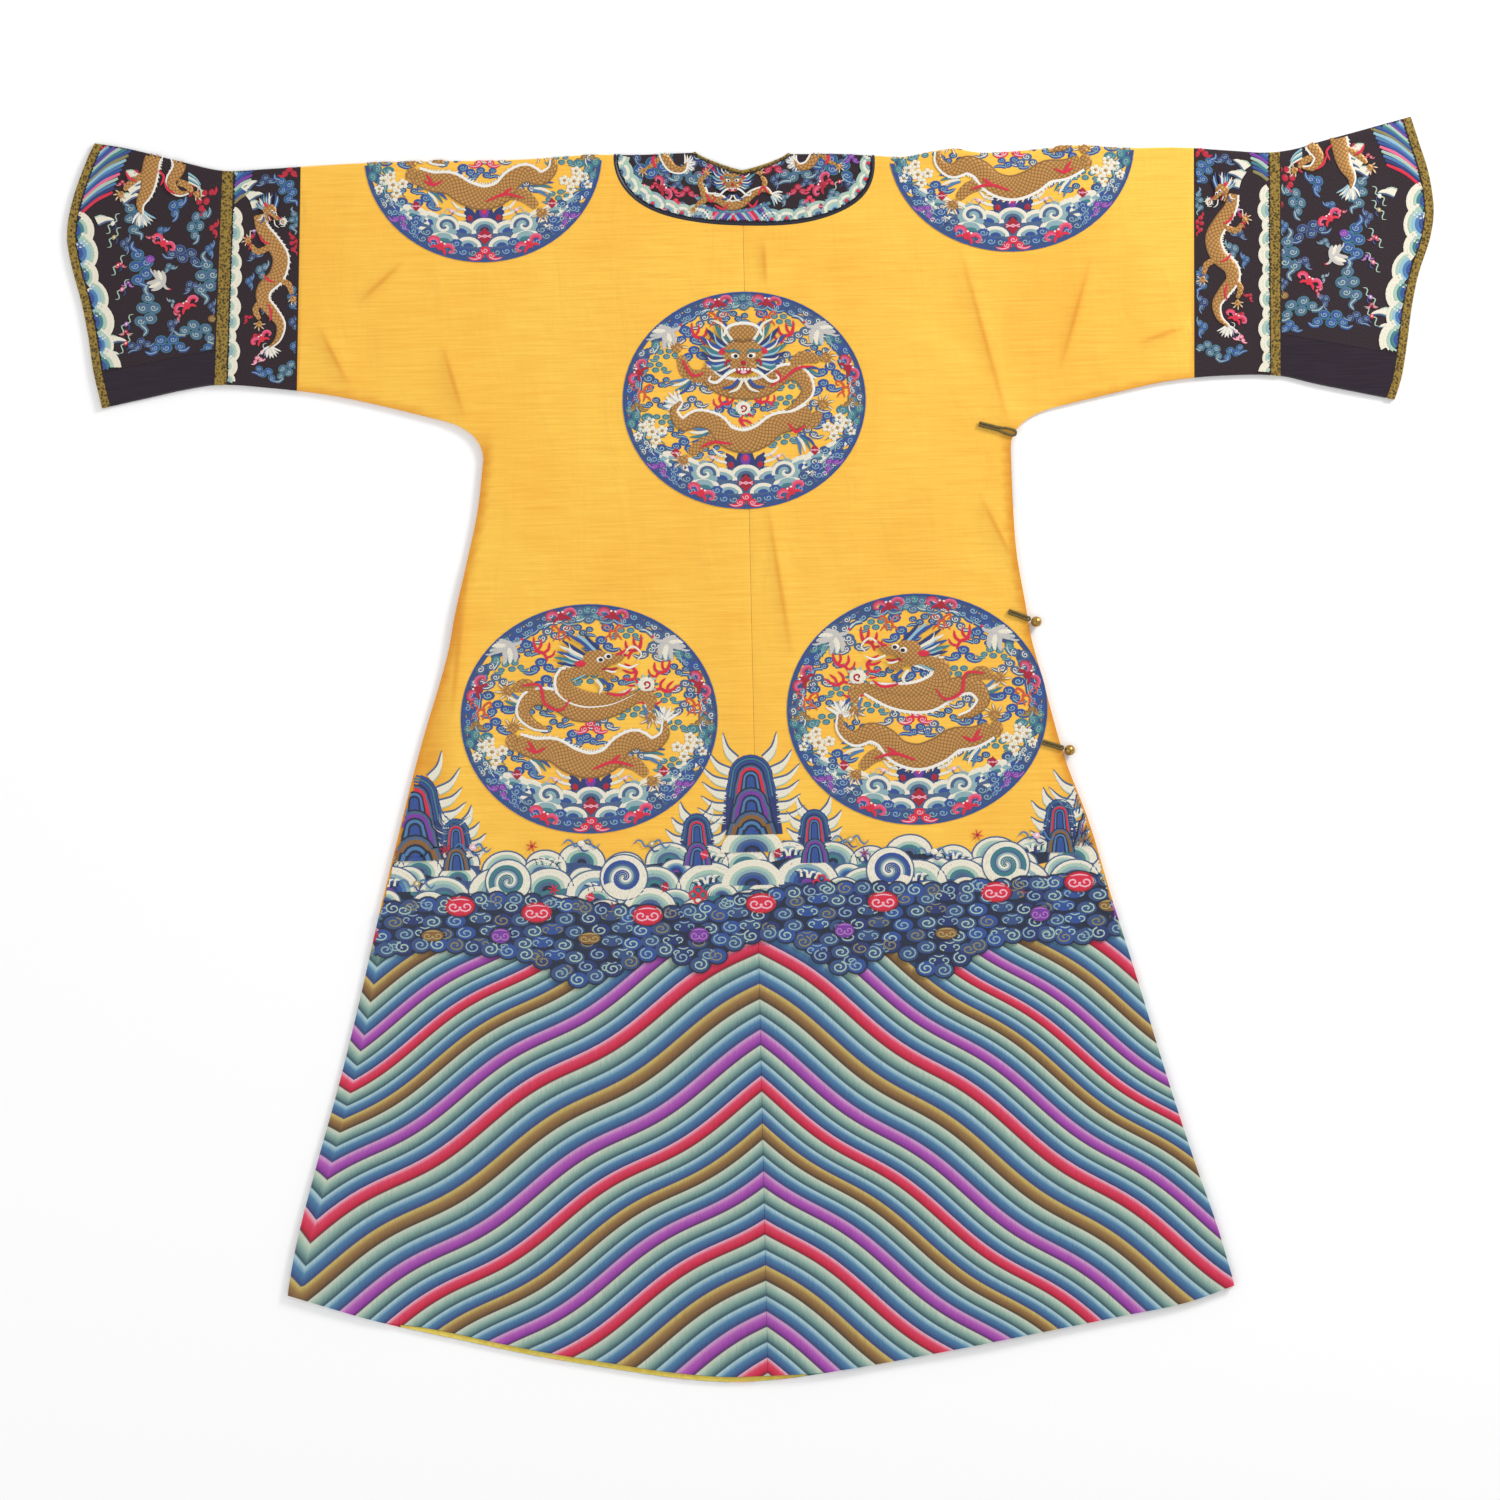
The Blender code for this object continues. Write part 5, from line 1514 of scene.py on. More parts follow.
def roundel(name, x, drop, radiusX, radiusY, dragon, flip=1, both=True):
    work = newWork()
    m = at(work, x, drop, (radiusX / 100, radiusY / 100), flip=flip)
    for reach, width, tint, level in ((97.6, 3.6, "dusk", 1.0), (99.2, 1.2, "deep", 5)):
        stroke(m, oval(reach, reach, 72), width, tint, level, closed=True, straight=True)
    for index, turn in enumerate(np.arange(-226, 50, 12.4)):
        a = math.radians(turn + 2 * math.sin(index * 1.9))
        tones = roundelTones[index % 4]
        way = 1 if index % 2 else -1
        spot = at(m, *ray(91.5, a), 0.68, turn + 90, way)
        patch(spot, oval(15, 6.5, 14), "dusk", 0.9, crown=0.1)
        cloud(spot, "four", *tones, 1.9)
        if math.sin(index * 2.7) > -0.2:
            lobe(m, *ray(81, a), 5.2, *tones, 1.5, flip=way)
    for here in mirrored(m):
        crane(at(here, 62, -64, 0.9, 222), 4)
        bat(at(here, 86, -28, 0.8, 62), "crimson", "pink", 5)
        bat(at(here, 20, -90, 0.8, 10), "crimson", "pink", 5)
        doubleCurl(at(here, 84, -10, 0.9), "orange", 3)
        doubleCurl(at(here, 20, -76, 0.8), "orange", 3)
        flame(at(here, 36, -62, 0.66, -40), "red", 3)
        flowers(at(here, 76, 27, turn=-8), "ivory", 3)
        cloud(at(here, 88, 4, 0.42), "three", "bronze", "straw", 3)
    cloud(at(m, 0, -90, 0.7), "five", "slate", "mist", 3)
    roundelSea(m)
    dragon(m)
    if dragon is profileDragon:
        cloud(at(m, 1, 7, 0.6), "three", "red", "rose", 2)
        cloud(at(m, 0, 18, 0.56), "four", "deep", "mist", 2)
    fillClouds(m, 80)

    def insideRim(placeX, placeDrop):
        return ((placeX - x) / radiusX) ** 2 + ((placeDrop - drop) / radiusY) ** 2 < 1

    finishWork(work, name, both, insideRim)


roundels = [
    ("roundel_back", -7, 279, 140, 125, frontalDragon),
    ("roundel_skirt_left", -193, 641, 148, 132, profileDragon),
    ("roundel_skirt_right", 184, 638, 150, 133, profileDragon, -1),
    ("roundel_shoulder_left", -301, -11, 137, 125, profileDragon, 1, False),
    ("roundel_shoulder_right", 306, -10, 142, 125, profileDragon, -1, False),
]
for row in roundels:
    roundel(*row)


# the sea above the stripes
sea = {
    "upper": [
        (-500, 858), (-380, 846), (-290, 842), (-190, 856), (-100, 862), (0, 846), (100, 838), (200, 842),
        (300, 838), (400, 834), (500, 832),
    ],
    "lower": [
        (-500, 900), (-440, 905), (-380, 900), (-320, 906), (-260, 918), (-216, 944), (-160, 928),
        (-110, 912), (-72, 930), (-30, 905), (0, 896), (40, 902), (95, 938), (150, 912), (199, 944),
        (250, 914), (310, 902), (360, 908), (420, 896), (500, 890),
    ],
    "redHeads": [(-346, 853), (-258, 862), (-131, 868), (0, 857), (140, 858), (270, 850), (366, 840)],
    "purpleHeads": [(-300, 888), (-72, 892), (95, 890), (320, 876)],
    "brownHeads": [(-378, 886), (-198, 893), (212, 896), (400, 868)],
    "treasures": [
        (-362, 788, "star", "crimson"), (-205, 784, "scroll", "ivory"), (-330, 786, "scroll", "rose"),
        (-64, 800, "lozenge", "red"), (-110, 836, "lozenge", "crimson"), (-238, 836, "star", "red"),
        (-170, 858, "star", "crimson"), (70, 836, "knot", "red"), (-72, 846, "knot", "red"),
        (120, 802, "star", "purple"), (200, 802, "scroll", "ivory"), (232, 852, "lozenge", "crimson"),
        (318, 786, "scroll", "rose"), (330, 838, "star", "crimson"), (-395, 826, "scroll", "straw"),
        (20, 800, "lozenge", "crimson"), (250, 784, "star", "orange"), (-124, 786, "scroll", "straw"),
        (104, 786, "scroll", "straw"), (-262, 786, "star", "orange"), (-196, 846, "lozenge", "red"),
        (166, 854, "lozenge", "red"), (300, 850, "star", "red"),
    ],
    "spirals": [(-290, 826, 24, 1), (-157, 824, 25, 1), (149, 822, 25, -1), (282, 818, 25, -1)],
    "mountains": [
        (-9, 686, 778, 31), (-72, 752, 812, 20), (63, 750, 812, 20), (-396, 700, 800, 34),
        (-349, 752, 812, 19), (345, 744, 806, 20), (388, 716, 800, 30),
    ],
}


def archOutline(top, base, half, count=11):
    # a rounded peak whose sides widen to the foot
    points = [(half * 1.15, base), (half * 0.98, (top + base) / 2)]
    for a in np.linspace(0, math.pi, count):
        points.append((half * 0.82 * math.cos(a), top + half * 0.8 - half * 0.8 * math.sin(a)))
    points += [(-half * 0.98, (top + base) / 2), (-half * 1.15, base)]
    return points


def mountain(work, x, top, base, half, level=2):
    m = at(work, x, 0)
    tall = base - top
    big = half > 25
    turns = (-44, -24, -14, -8, -4, -2, 0)
    for here in mirrored(work, x):
        count = max(3, int(tall / 14.5))
        for index in range(count):
            y = top + 3 + tall * 0.9 * index / count
            reach = (30 - index * 0.6 if big else 17) + 2.5 * math.sin(index * 2.1 + x)
            edge = half * (0.55, 0.84, 0.92, 0.96, 1.0, 1.02, 1.04)[min(index, 6)]
            spray(at(here, edge, y, turn=turns[min(index, 6)]), reach, level - 0.5)
    patch(m, archOutline(top, base, half), "navy", level, inset=0.9, crown=0.15)
    for index, (part, tint) in enumerate(((0.93, "deep"), (0.82, "teal"), (0.71, "deep"))):
        stroke(m, archOutline(top + half * (1 - part) * 0.9, base, half * part)[1:-1], half * 0.06, tint,
            level + 1 + 0.2 * index)
    tiers = 3 if tall > 80 else 2
    tones = ("red", "purple", "bronze") if tiers == 3 else (("red", "bronze")
        if abs(x) > 200 else ("red", "purple"))
    bands = (("night", 1.0), ("slate", 0.92), ("", 0.8), ("night", 0.62), ("mid", 0.52), ("night", 0.38),
        ("deep", 0.26))
    for tier in range(tiers):
        tierTop = top + half * 0.34 + (tall - half * 0.4) * tier / tiers
        width = half * (0.62 + 0.12 * tier)
        bottom = min(base, tierTop + tall / tiers * 1.25 + 8)
        lift = level + 2 + tier * 4.2
        for index, (tint, part) in enumerate(bands):
            outline = archOutline(tierTop + width * (1 - part), bottom, width * part, 9)
            patch(m, outline, tint or tones[tier], lift + index * 0.6, inset=0.9, crown=0.08)


def bandGround(base, upper, lower, tint, level):
    # a plain strip between two curves, under the motifs
    xs = np.arange(-600, 601, 5.0)
    high, low = upper(xs), lower(xs)
    drops = high[:, None] + (low - high)[:, None] * np.linspace(0, 1, 5)
    points = np.stack([np.tile(xs[:, None], (1, 5)), drops], axis=2).reshape(-1, 2)
    addPart(base[0], 0, stripFaces(len(xs), 5), points=points, lifts=np.full(len(points), liftOf(level)),
        tints=np.tile(asTint(tint), (len(points), 1)), uvs=points * 0.6)


def betweenSides(x, drop):
    return (x > sideEdge(-1, drop) + 1.0) & (x < sideEdge(1, drop) - 1.0)


def hemSea():
    work = newWork()
    for row in sea["mountains"]:
        mountain(work, *row)
    bandGround(work, lambda x: 818 + 6 * np.sin(x / 23), lambda x: np.full(len(x), 866.0), "night", 1.5)
    orders = (["ivory", "ivory", "celadon", "mist", "slate", "deep", "night"],
        ["ivory", "celadon", "mist", "slate", "teal", "night"],
        ["ivory", "ivory", "mist", "mid", "deep", "navy", "purple"],
        ["ivory", "ivory", "celadon", "teal", "slate", "night"])
    for level, drop, pitch, radius, offset in ((3, 810, 47, 25, 12), (4.4, 824, 50, 20, -9),
            (5.8, 840, 60, 33, -14), (7.4, 852, 48, 20, 14), (8.8, 866, 56, 27, 16)):
        for index, x in enumerate(np.arange(-590, 591, pitch)):
            place = x + offset + 4 * math.sin(index * 1.7 + level)
            size = radius * (1 + 0.14 * math.sin(index * 3.1 + level))
            m = at(work, place, drop + 5 * math.sin(index * 2.3 + drop), turn=12 * math.sin(index * 1.9))
            dome = [ray(size, -a, 0.82) for a in np.linspace(0, math.pi, 12)]
            patch(m, dome + [(-size, 14), (size, 14)], ("teal", "night", "dusk")[index % 3], level - 0.6,
                crown=0.1)
            waveArch(m, size + 1.4, ["slate"], level + 0.3, (176, 364), 0.82, width=1.8)
            waveArch(m, size, orders[(index * 3 + int(level)) % 4], level, (172, 368), 0.82)
            if index % 2 and radius > 24 and level < 8:
                for here in mirrored(m, 0, -size * 0.28):
                    for reach in (0, 7):
                        stroke(here, [(1 + reach, 4), (3 + reach, -3), (8 + reach, -4 + reach * 0.3)], 3.0,
                            "ivory", level + 1.6, 1, 0.3)
                        stroke(here, [(4 + reach, 5), (6 + reach, 0), (10 + reach, -1)], 1.6, "night",
                            level + 2, 1, 0.3)
    for index, (x, drop, radius, flip) in enumerate(sea["spirals"]):
        dark = ("teal", "deep", "deep", "teal")[index]
        for wide, tall, tint, level, count in ((1.12, 1.08, "slate", 10.5, 28),
                (1.06, 1.02, "ivory", 11, 28), (0.8, 0.77, "mist", 11.6, 24)):
            dot(work, x, drop, radius * wide, radius * tall, tint, level, count, crown=0.1)
        waveSpiral(at(work, x, drop), radius * 0.97, [dark, dark, "slate", "mist", "ivory"], 12.5, flip,
            1.9)
    for drop in (798, 836):
        waveArch(at(work, -9, drop), 36, orders[0] + ["navy"], 9.5, (180, 360), 0.8)
    for x, drop, form, tint in sea["treasures"]:
        here = at(work, x, drop)
        if form == "star":
            star(at(here, 0, 0, 0.8, 15), tint, 15)
        elif form == "scroll":
            scroll(at(here, 0, 0, 1.05, 8), "mid", tint, 15)
        elif form == "lozenge":
            lozenge(at(here, 0, 0, 0.8, 20), tint, "rose", 15)
        else:
            for turn in (0, 90, 180, 270):
                loop = at(here, 0, 0, turn=turn)
                stroke(loop, [(1, 0), (4, -4), (9, -3.4), (9, 3.4), (4, 4), (1, 0)], 2.2, tint, 15, 0.8,
                    0.8)
    finishWork(work, "hem_sea", keep=betweenSides)


def scrollLobe(work, x, drop, wide, tall, line, body, level, flip=1, double=False):
    # a dark-edged curl of the cloud band; the wide ones carry a pair of curls
    here = at(work, x, drop)
    patch(here, oval(wide * 1.12, tall * 1.16, 14), "night", level, crown=0.08)
    patch(here, oval(wide * 0.97, tall * 0.95, 14), body, level + 0.8, crown=0.3)
    if double:
        for side in (-1, 1):
            part = at(here, side * wide * 0.46, 0.6, (wide * 0.058, tall * 0.084), flip=side)
            curl(part, 7.4, 0.95, 2.1, line, level + 3, 0.95, steps=9)
        stroke(here, [(-wide * 0.4, -tall * 0.72), (0, -tall * 0.5), (wide * 0.4, -tall * 0.72)], 1.4, line,
            level + 3, 0.6, 0.6)
    else:
        part = at(here, 0, 0, (wide / 10, tall / 10), flip=flip)
        curl(part, 8.0, 1.4, 1.7, line, level + 3, 0.95, steps=15)


def cloudBand():
    work = newWork()
    bandGround(work, lambda x: readCurve(sea["upper"], 1, x), lambda x: readCurve(sea["lower"], 1, x),
        "night", 15)
    lines = ("mist", "celadon", "mist", "celadon", "olive")
    bodies = ("dusk", "navy", "dusk", "deep")
    index = 0
    for row, drop in enumerate(np.arange(840, 956, 14.5)):
        for x in np.arange(-600, 600, 25.0):
            place = x + (12.5 if row % 2 else 0) + 3.0 * math.sin(index * 1.3)
            y = drop + 2.4 * math.sin(index * 2.1)
            index += 1
            low, high = float(readCurve(sea["upper"], 1, place)), float(readCurve(sea["lower"], 1, place))
            if not low + 1 < y < high - 5:
                continue
            double = index % 3 == 0
            scrollLobe(work, place, y, 14 if double else 12, 7.0 if double else 8.0, lines[index % 5],
                bodies[index % 4], 15.4 + 0.3 * (index % 3), 1 if index % 2 else -1, double)
    for index, x in enumerate(np.arange(-592, 600, 20.0)):
        y = float(readCurve(sea["lower"], 1, x)) - 4
        scrollLobe(work, x, y, 11.4, 9.0, lines[(index + 2) % 5], bodies[index % 4], 17,
            1 if index % 2 else -1)
        y = float(readCurve(sea["upper"], 1, x + 9)) + 4
        scrollLobe(work, x + 9, y, 11, 8.4, lines[index % 5], bodies[(index + 1) % 4], 16.6,
            -1 if index % 2 else 1)
    for heads, body, edge, line, wide, tall in ((sea["redHeads"], "red", "crimson", "rose", 17.5, 11.5),
            (sea["purpleHeads"], "purple", "night", "lilac", 12.5, 9.5),
            (sea["brownHeads"], "bronze", "night", "straw", 14, 7.5)):
        for x, drop in heads:
            here = at(work, x, drop)
            patch(here, oval(wide * 1.1, tall * 1.14, 16), "night", 19.4, crown=0.1)
            patch(here, oval(wide * 1.02, tall * 1.04, 16), edge, 20, crown=0.1)
            patch(here, oval(wide * 0.9, tall * 0.9, 16), body, 21, crown=0.4)
            for flip in (-1, 1):
                part = at(here, flip * wide * 0.4, tall * 0.06, (wide * 0.056, tall * 0.07), flip=flip)
                curl(part, 8.4, 1.2, 2.0, line, 24.5, 0.95)
            stroke(here, [(-wide * 0.6, -tall * 0.56), (0, -tall * 0.7), (wide * 0.6, -tall * 0.56)], 1.5,
                line, 24.5, 0.3, 0.3)
    finishWork(work, "hem_cloud_band", keep=betweenSides)


hemSea()
cloudBand()


# sleeves: bands and horseshoe cuffs, drawn once with x as the reach from the middle
sleeveMotifs = {
    "bandDragon": [
        (560, 54), (556, 70), (545, 86), (536, 104), (541, 124), (555, 138), (557, 152), (547, 166),
        (538, 180), (541, 196), (551, 206),
    ],
    "bandClouds": [
        (527, 26, "tall", 30, 0.7, 0), (558, 118, "three", 70, 0.55, 1), (521, 150, "tall", 10, 0.6, 0),
        (566, 100, "three", 20, 0.42, 2), (530, 232, "five", 30, 0.6, 1),
        (556, 236, "four", -20, 0.56, 0), (522, 178, "three", 80, 0.5, 2),
        (521, 206, "three", 80, 0.5, 0), (519, 62, "tall", 0, 0.5, 1), (572, 130, "three", 80, 0.4, 0),
        (557, 160, "three", 60, 0.34, 2), (551, 14, "three", 10, 0.5, 2),
    ],
    "bandReds": [
        (520, 88, "tall", 10, 0.5), (524, 5, "three", 0, 0.6), (572, 82, "three", 70, 0.5),
        (566, 194, "three", 40, 0.42), (576, 172, "three", 40, 0.34),
    ],
    "cuffClouds": [
        (703, 56, "tall", 16, 0.84, 1), (655, 43, "three", 60, 0.7, 0), (631, 62, "five", 66, 0.74, 1),
        (646, 98, "five", -16, 0.78, 2), (697, 112, "tall", 8, 1.0, 0), (622, 126, "tall", -6, 1.0, 1),
        (691, 162, "tall", -10, 0.98, 1), (668, 200, "five", 6, 0.82, 0),
        (632, 186, "five", -14, 0.86, 1), (714, 84, "three", 80, 0.5, 2), (640, 134, "three", 30, 0.5, 2),
        (662, 178, "three", 60, 0.5, 2), (672, 70, "three", 40, 0.44, 0), (622, 208, "three", 0, 0.6, 0),
        (700, 200, "four", 20, 0.6, 2), (664, 112, "three", 20, 0.4, 1), (617, 92, "three", 80, 0.46, 0),
        (616, 158, "three", 80, 0.4, 2),
    ],
    "cuffReds": [
        (622, 34, "five", 60, 0.66), (612, 68, "three", 80, 0.5), (700, 4, "three", 10, 0.5),
        (637, 20, "three", 60, 0.5),
    ],
    "tones": [("deep", "mist", "teal"), ("slate", "celadon", "teal"), ("navy", "mist", "slate")],
}


def cornerStripes(here, outX, fromDrop, count, reach):
    # the small wave-striped corner beside a ribbon
    order = ("red", "pale", "mid", "deep", "purple", "celadon", "teal", "deep", "olive", "pale", "mid",
        "deep", "pink", "celadon", "mid", "navy")
    for index in range(count):
        drop = fromDrop + index * 4.6
        length = reach * (1 - 0.3 * index / count)
        path = [(outX(drop), drop), (outX(drop) - length * 0.5, drop - length * 0.42),
            (outX(drop) - length, drop - length * 0.66)]
        stroke(here, path, 3.8, order[index % 16], 2 + (index % 2) * 0.4, 1, 0.7)


def scatter(m, rows, grow=1.0):
    for x, drop, form, turn, size, tone in rows:
        body, line, rim = sleeveMotifs["tones"][tone]
        cloud(at(m, x, drop, size * grow, turn), form, body, line, 1.5, rim=rim)


def sleeveWork(side):
    word = sideName[side]

    def reachOf(name, drop):
        return side * seamX(name, side, drop)

    def edgeReach(drop):
        return side * sleeveEnd(side, drop) - robe["edging"]

    def onBand(x, drop):
        across = (side * x > reachOf("band", drop) + 1.5) & (side * x < reachOf("trim", drop) - 0.6)
        return across & (drop < under(x) - 1.5)

    def onCuff(x, drop):
        inside = (side * x > reachOf("cuff", drop) + 0.8) & (side * x < edgeReach(drop) - 0.6)
        return inside & (drop < gussetEdge(side, x) - 1.0)

    work = newWork()
    here = at(work, 0, 0, flip=side)
    cornerStripes(here, lambda d: float(reachOf("trim", d)), 4, 9, 26)
    for index, drop in enumerate(np.arange(56, 262, 17.0)):
        x = float(reachOf("trim", drop)) + 3
        order = ["ivory", "celadon", "mist", "slate"] if index % 2 else ["ivory", "ivory", "celadon",
            "teal"]
        waveArch(at(here, x, drop, turn=-90 - 20), 14 + 2.5 * math.sin(index * 2.2), order, 2 + 0.4 * index,
            (176, 364), 1.1)
    for index, drop in enumerate((44, 34, 24)):
        spray(at(here, 566 + 4 * index, drop, turn=196 + 20 * index), 15, 3)
    scatter(here, sleeveMotifs["bandClouds"], 1.12)
    for x, drop, form, turn, size in sleeveMotifs["bandReds"]:
        cloud(at(here, x, drop, size, turn), form, "crimson", "red", 1.5)
    dragonBody(here, sleeveMotifs["bandDragon"], 19, 3, spine=-1)
    limbs(here, [([(546, 90), (562, 96), (570, 88)], (572, 84), -40),
        ([(542, 128), (528, 134), (524, 146)], (523, 150), 110),
        ([(556, 150), (566, 162), (562, 174)], (562, 178), 80)], 7, 4, 0.8)
    sideHead(at(here, 548, 50, 0.72, -60, -1), 14)
    tuft(here, 550, 206, 0.8, (60, 95, 130))
    strokes(here, [[(548, 88), (556, 84), (560, 76)], [(544, 132), (552, 128), (556, 122)],
        [(550, 176), (548, 166), (552, 156)]], 2.6, "red", 17, 0.5, 0.15)
    bat(at(here, 560, 196, 0.85, 30), "red", "pink", 5)
    pearl(at(here, 532, 62, 0.7))
    scroll(at(here, 560, 212, 0.6, 70), "grey", "rose", 4)
    scroll(at(here, 566, 72, 0.5, 40), "ivory", "lilac", 4)
    cloud(at(here, 565, 220, 0.4, 20), "three", "pink", "white", 3)
    finishWork(work, "band_embroidery_" + word, keep=onBand)

    work = newWork()
    here = at(work, 0, 0, flip=side)
    cornerStripes(here, lambda d: float(edgeReach(d)), -22, 17, 58)
    for index, drop in enumerate(np.arange(66, 240, 26.5)):
        spot = at(here, float(edgeReach(drop)) + 3, drop, turn=-90 - 26)
        order = (["ivory", "celadon", "pale", "mid", "deep", "navy"]
            if index % 2 else ["ivory", "ivory", "celadon", "teal", "deep", "navy"])
        radius = 23 + 3 * math.sin(index * 2.2)
        patch(spot, oval(radius * 0.9, radius * 0.9, 14), "navy", 1.6, crown=0.1)
        waveArch(spot, radius, order, 2.6 + 0.7 * index, (176, 364), 1.1)
    for index, (x, drop, turn) in enumerate(((708, 6, 190), (700, 14, 200), (706, 24, 215), (714, 34, 215),
            (744, 58, 205), (736, 196, 200), (742, 212, 205))):
        spray(at(here, x, drop, turn=turn), 17 + 3 * (index % 2), 3)
    scatter(here, sleeveMotifs["cuffClouds"], 1.06)
    for x, drop, form, turn, size in sleeveMotifs["cuffReds"]:
        cloud(at(here, x, drop, size, turn), form, "crimson", "red", 1.5)
    dragonBody(here, [(668, -30), (680, -14), (684, 2), (688, 22), (696, 38), (695, 50)], 20, 3, spine=-1)
    dragonBody(here, [(662, -34), (650, -6), (660, 14), (652, 26), (640, 26)], 15, 3, spine=1)
    limbs(here, [([(690, 4), (706, 14), (714, 22)], (717, 26), 40),
        ([(652, 14), (642, 18), (636, 26)], (632, 28), 160)], 8, 4, 0.9)
    tuft(here, 694, 48, 0.95, (70, 100, 130), 17, "pale")
    for index in range(6):
        stroke(here, [(640, 4 + 2 * index), (632 - index, 10 + 2.4 * index), (626, 18 + 3 * index)], 2.2,
            ("pale", "teal", "ivory")[index % 3], 4, 1, 0.2)
    strokes(here, [[(674, 0), (668, 8), (672, 18)], [(700, 12), (708, 8), (712, 0)],
        [(656, 28), (664, 22), (668, 12)]], 2.8, "red", 17, 0.5, 0.15)
    bat(at(here, 670, 84, 0.95, -35), "red", "pink", 5)
    bat(at(here, 645, 156, 1.0, 30), "red", "pink", 5)
    crane(at(here, 674, 128, 0.95, 150), 5)
    lobe(here, 686, 102, 5.6, "purple", "lilac", 4)
    lobe(here, 616, 172, 5.2, "bronze", "straw", 4)
    for x, drop, tint in ((683, 78, "crimson"), (655, 168, "crimson"), (662, 152, "teal"),
            (712, 130, "purple"), (720, 108, "crimson"), (716, 186, "crimson"), (716, 14, "crimson")):
        cloud(at(here, x, drop, 0.34, x), "three", tint, "rose", 3)
    for x, drop, knot in ((728, 60, "ivory"), (727, 76, "straw"), (723, 108, "red"), (719, 136, "pink"),
            (715, 176, "lilac"), (716, 198, "red")):
        scroll(at(here, x, drop, 0.7, 60), "celadon", knot, 4)
    finishWork(work, "cuff_embroidery_" + word, keep=onCuff)


for side in (-1, 1):
    sleeveWork(side)


def dropAt(x, run):
    return run + float(top(x)) + foldOuter - foldHalf


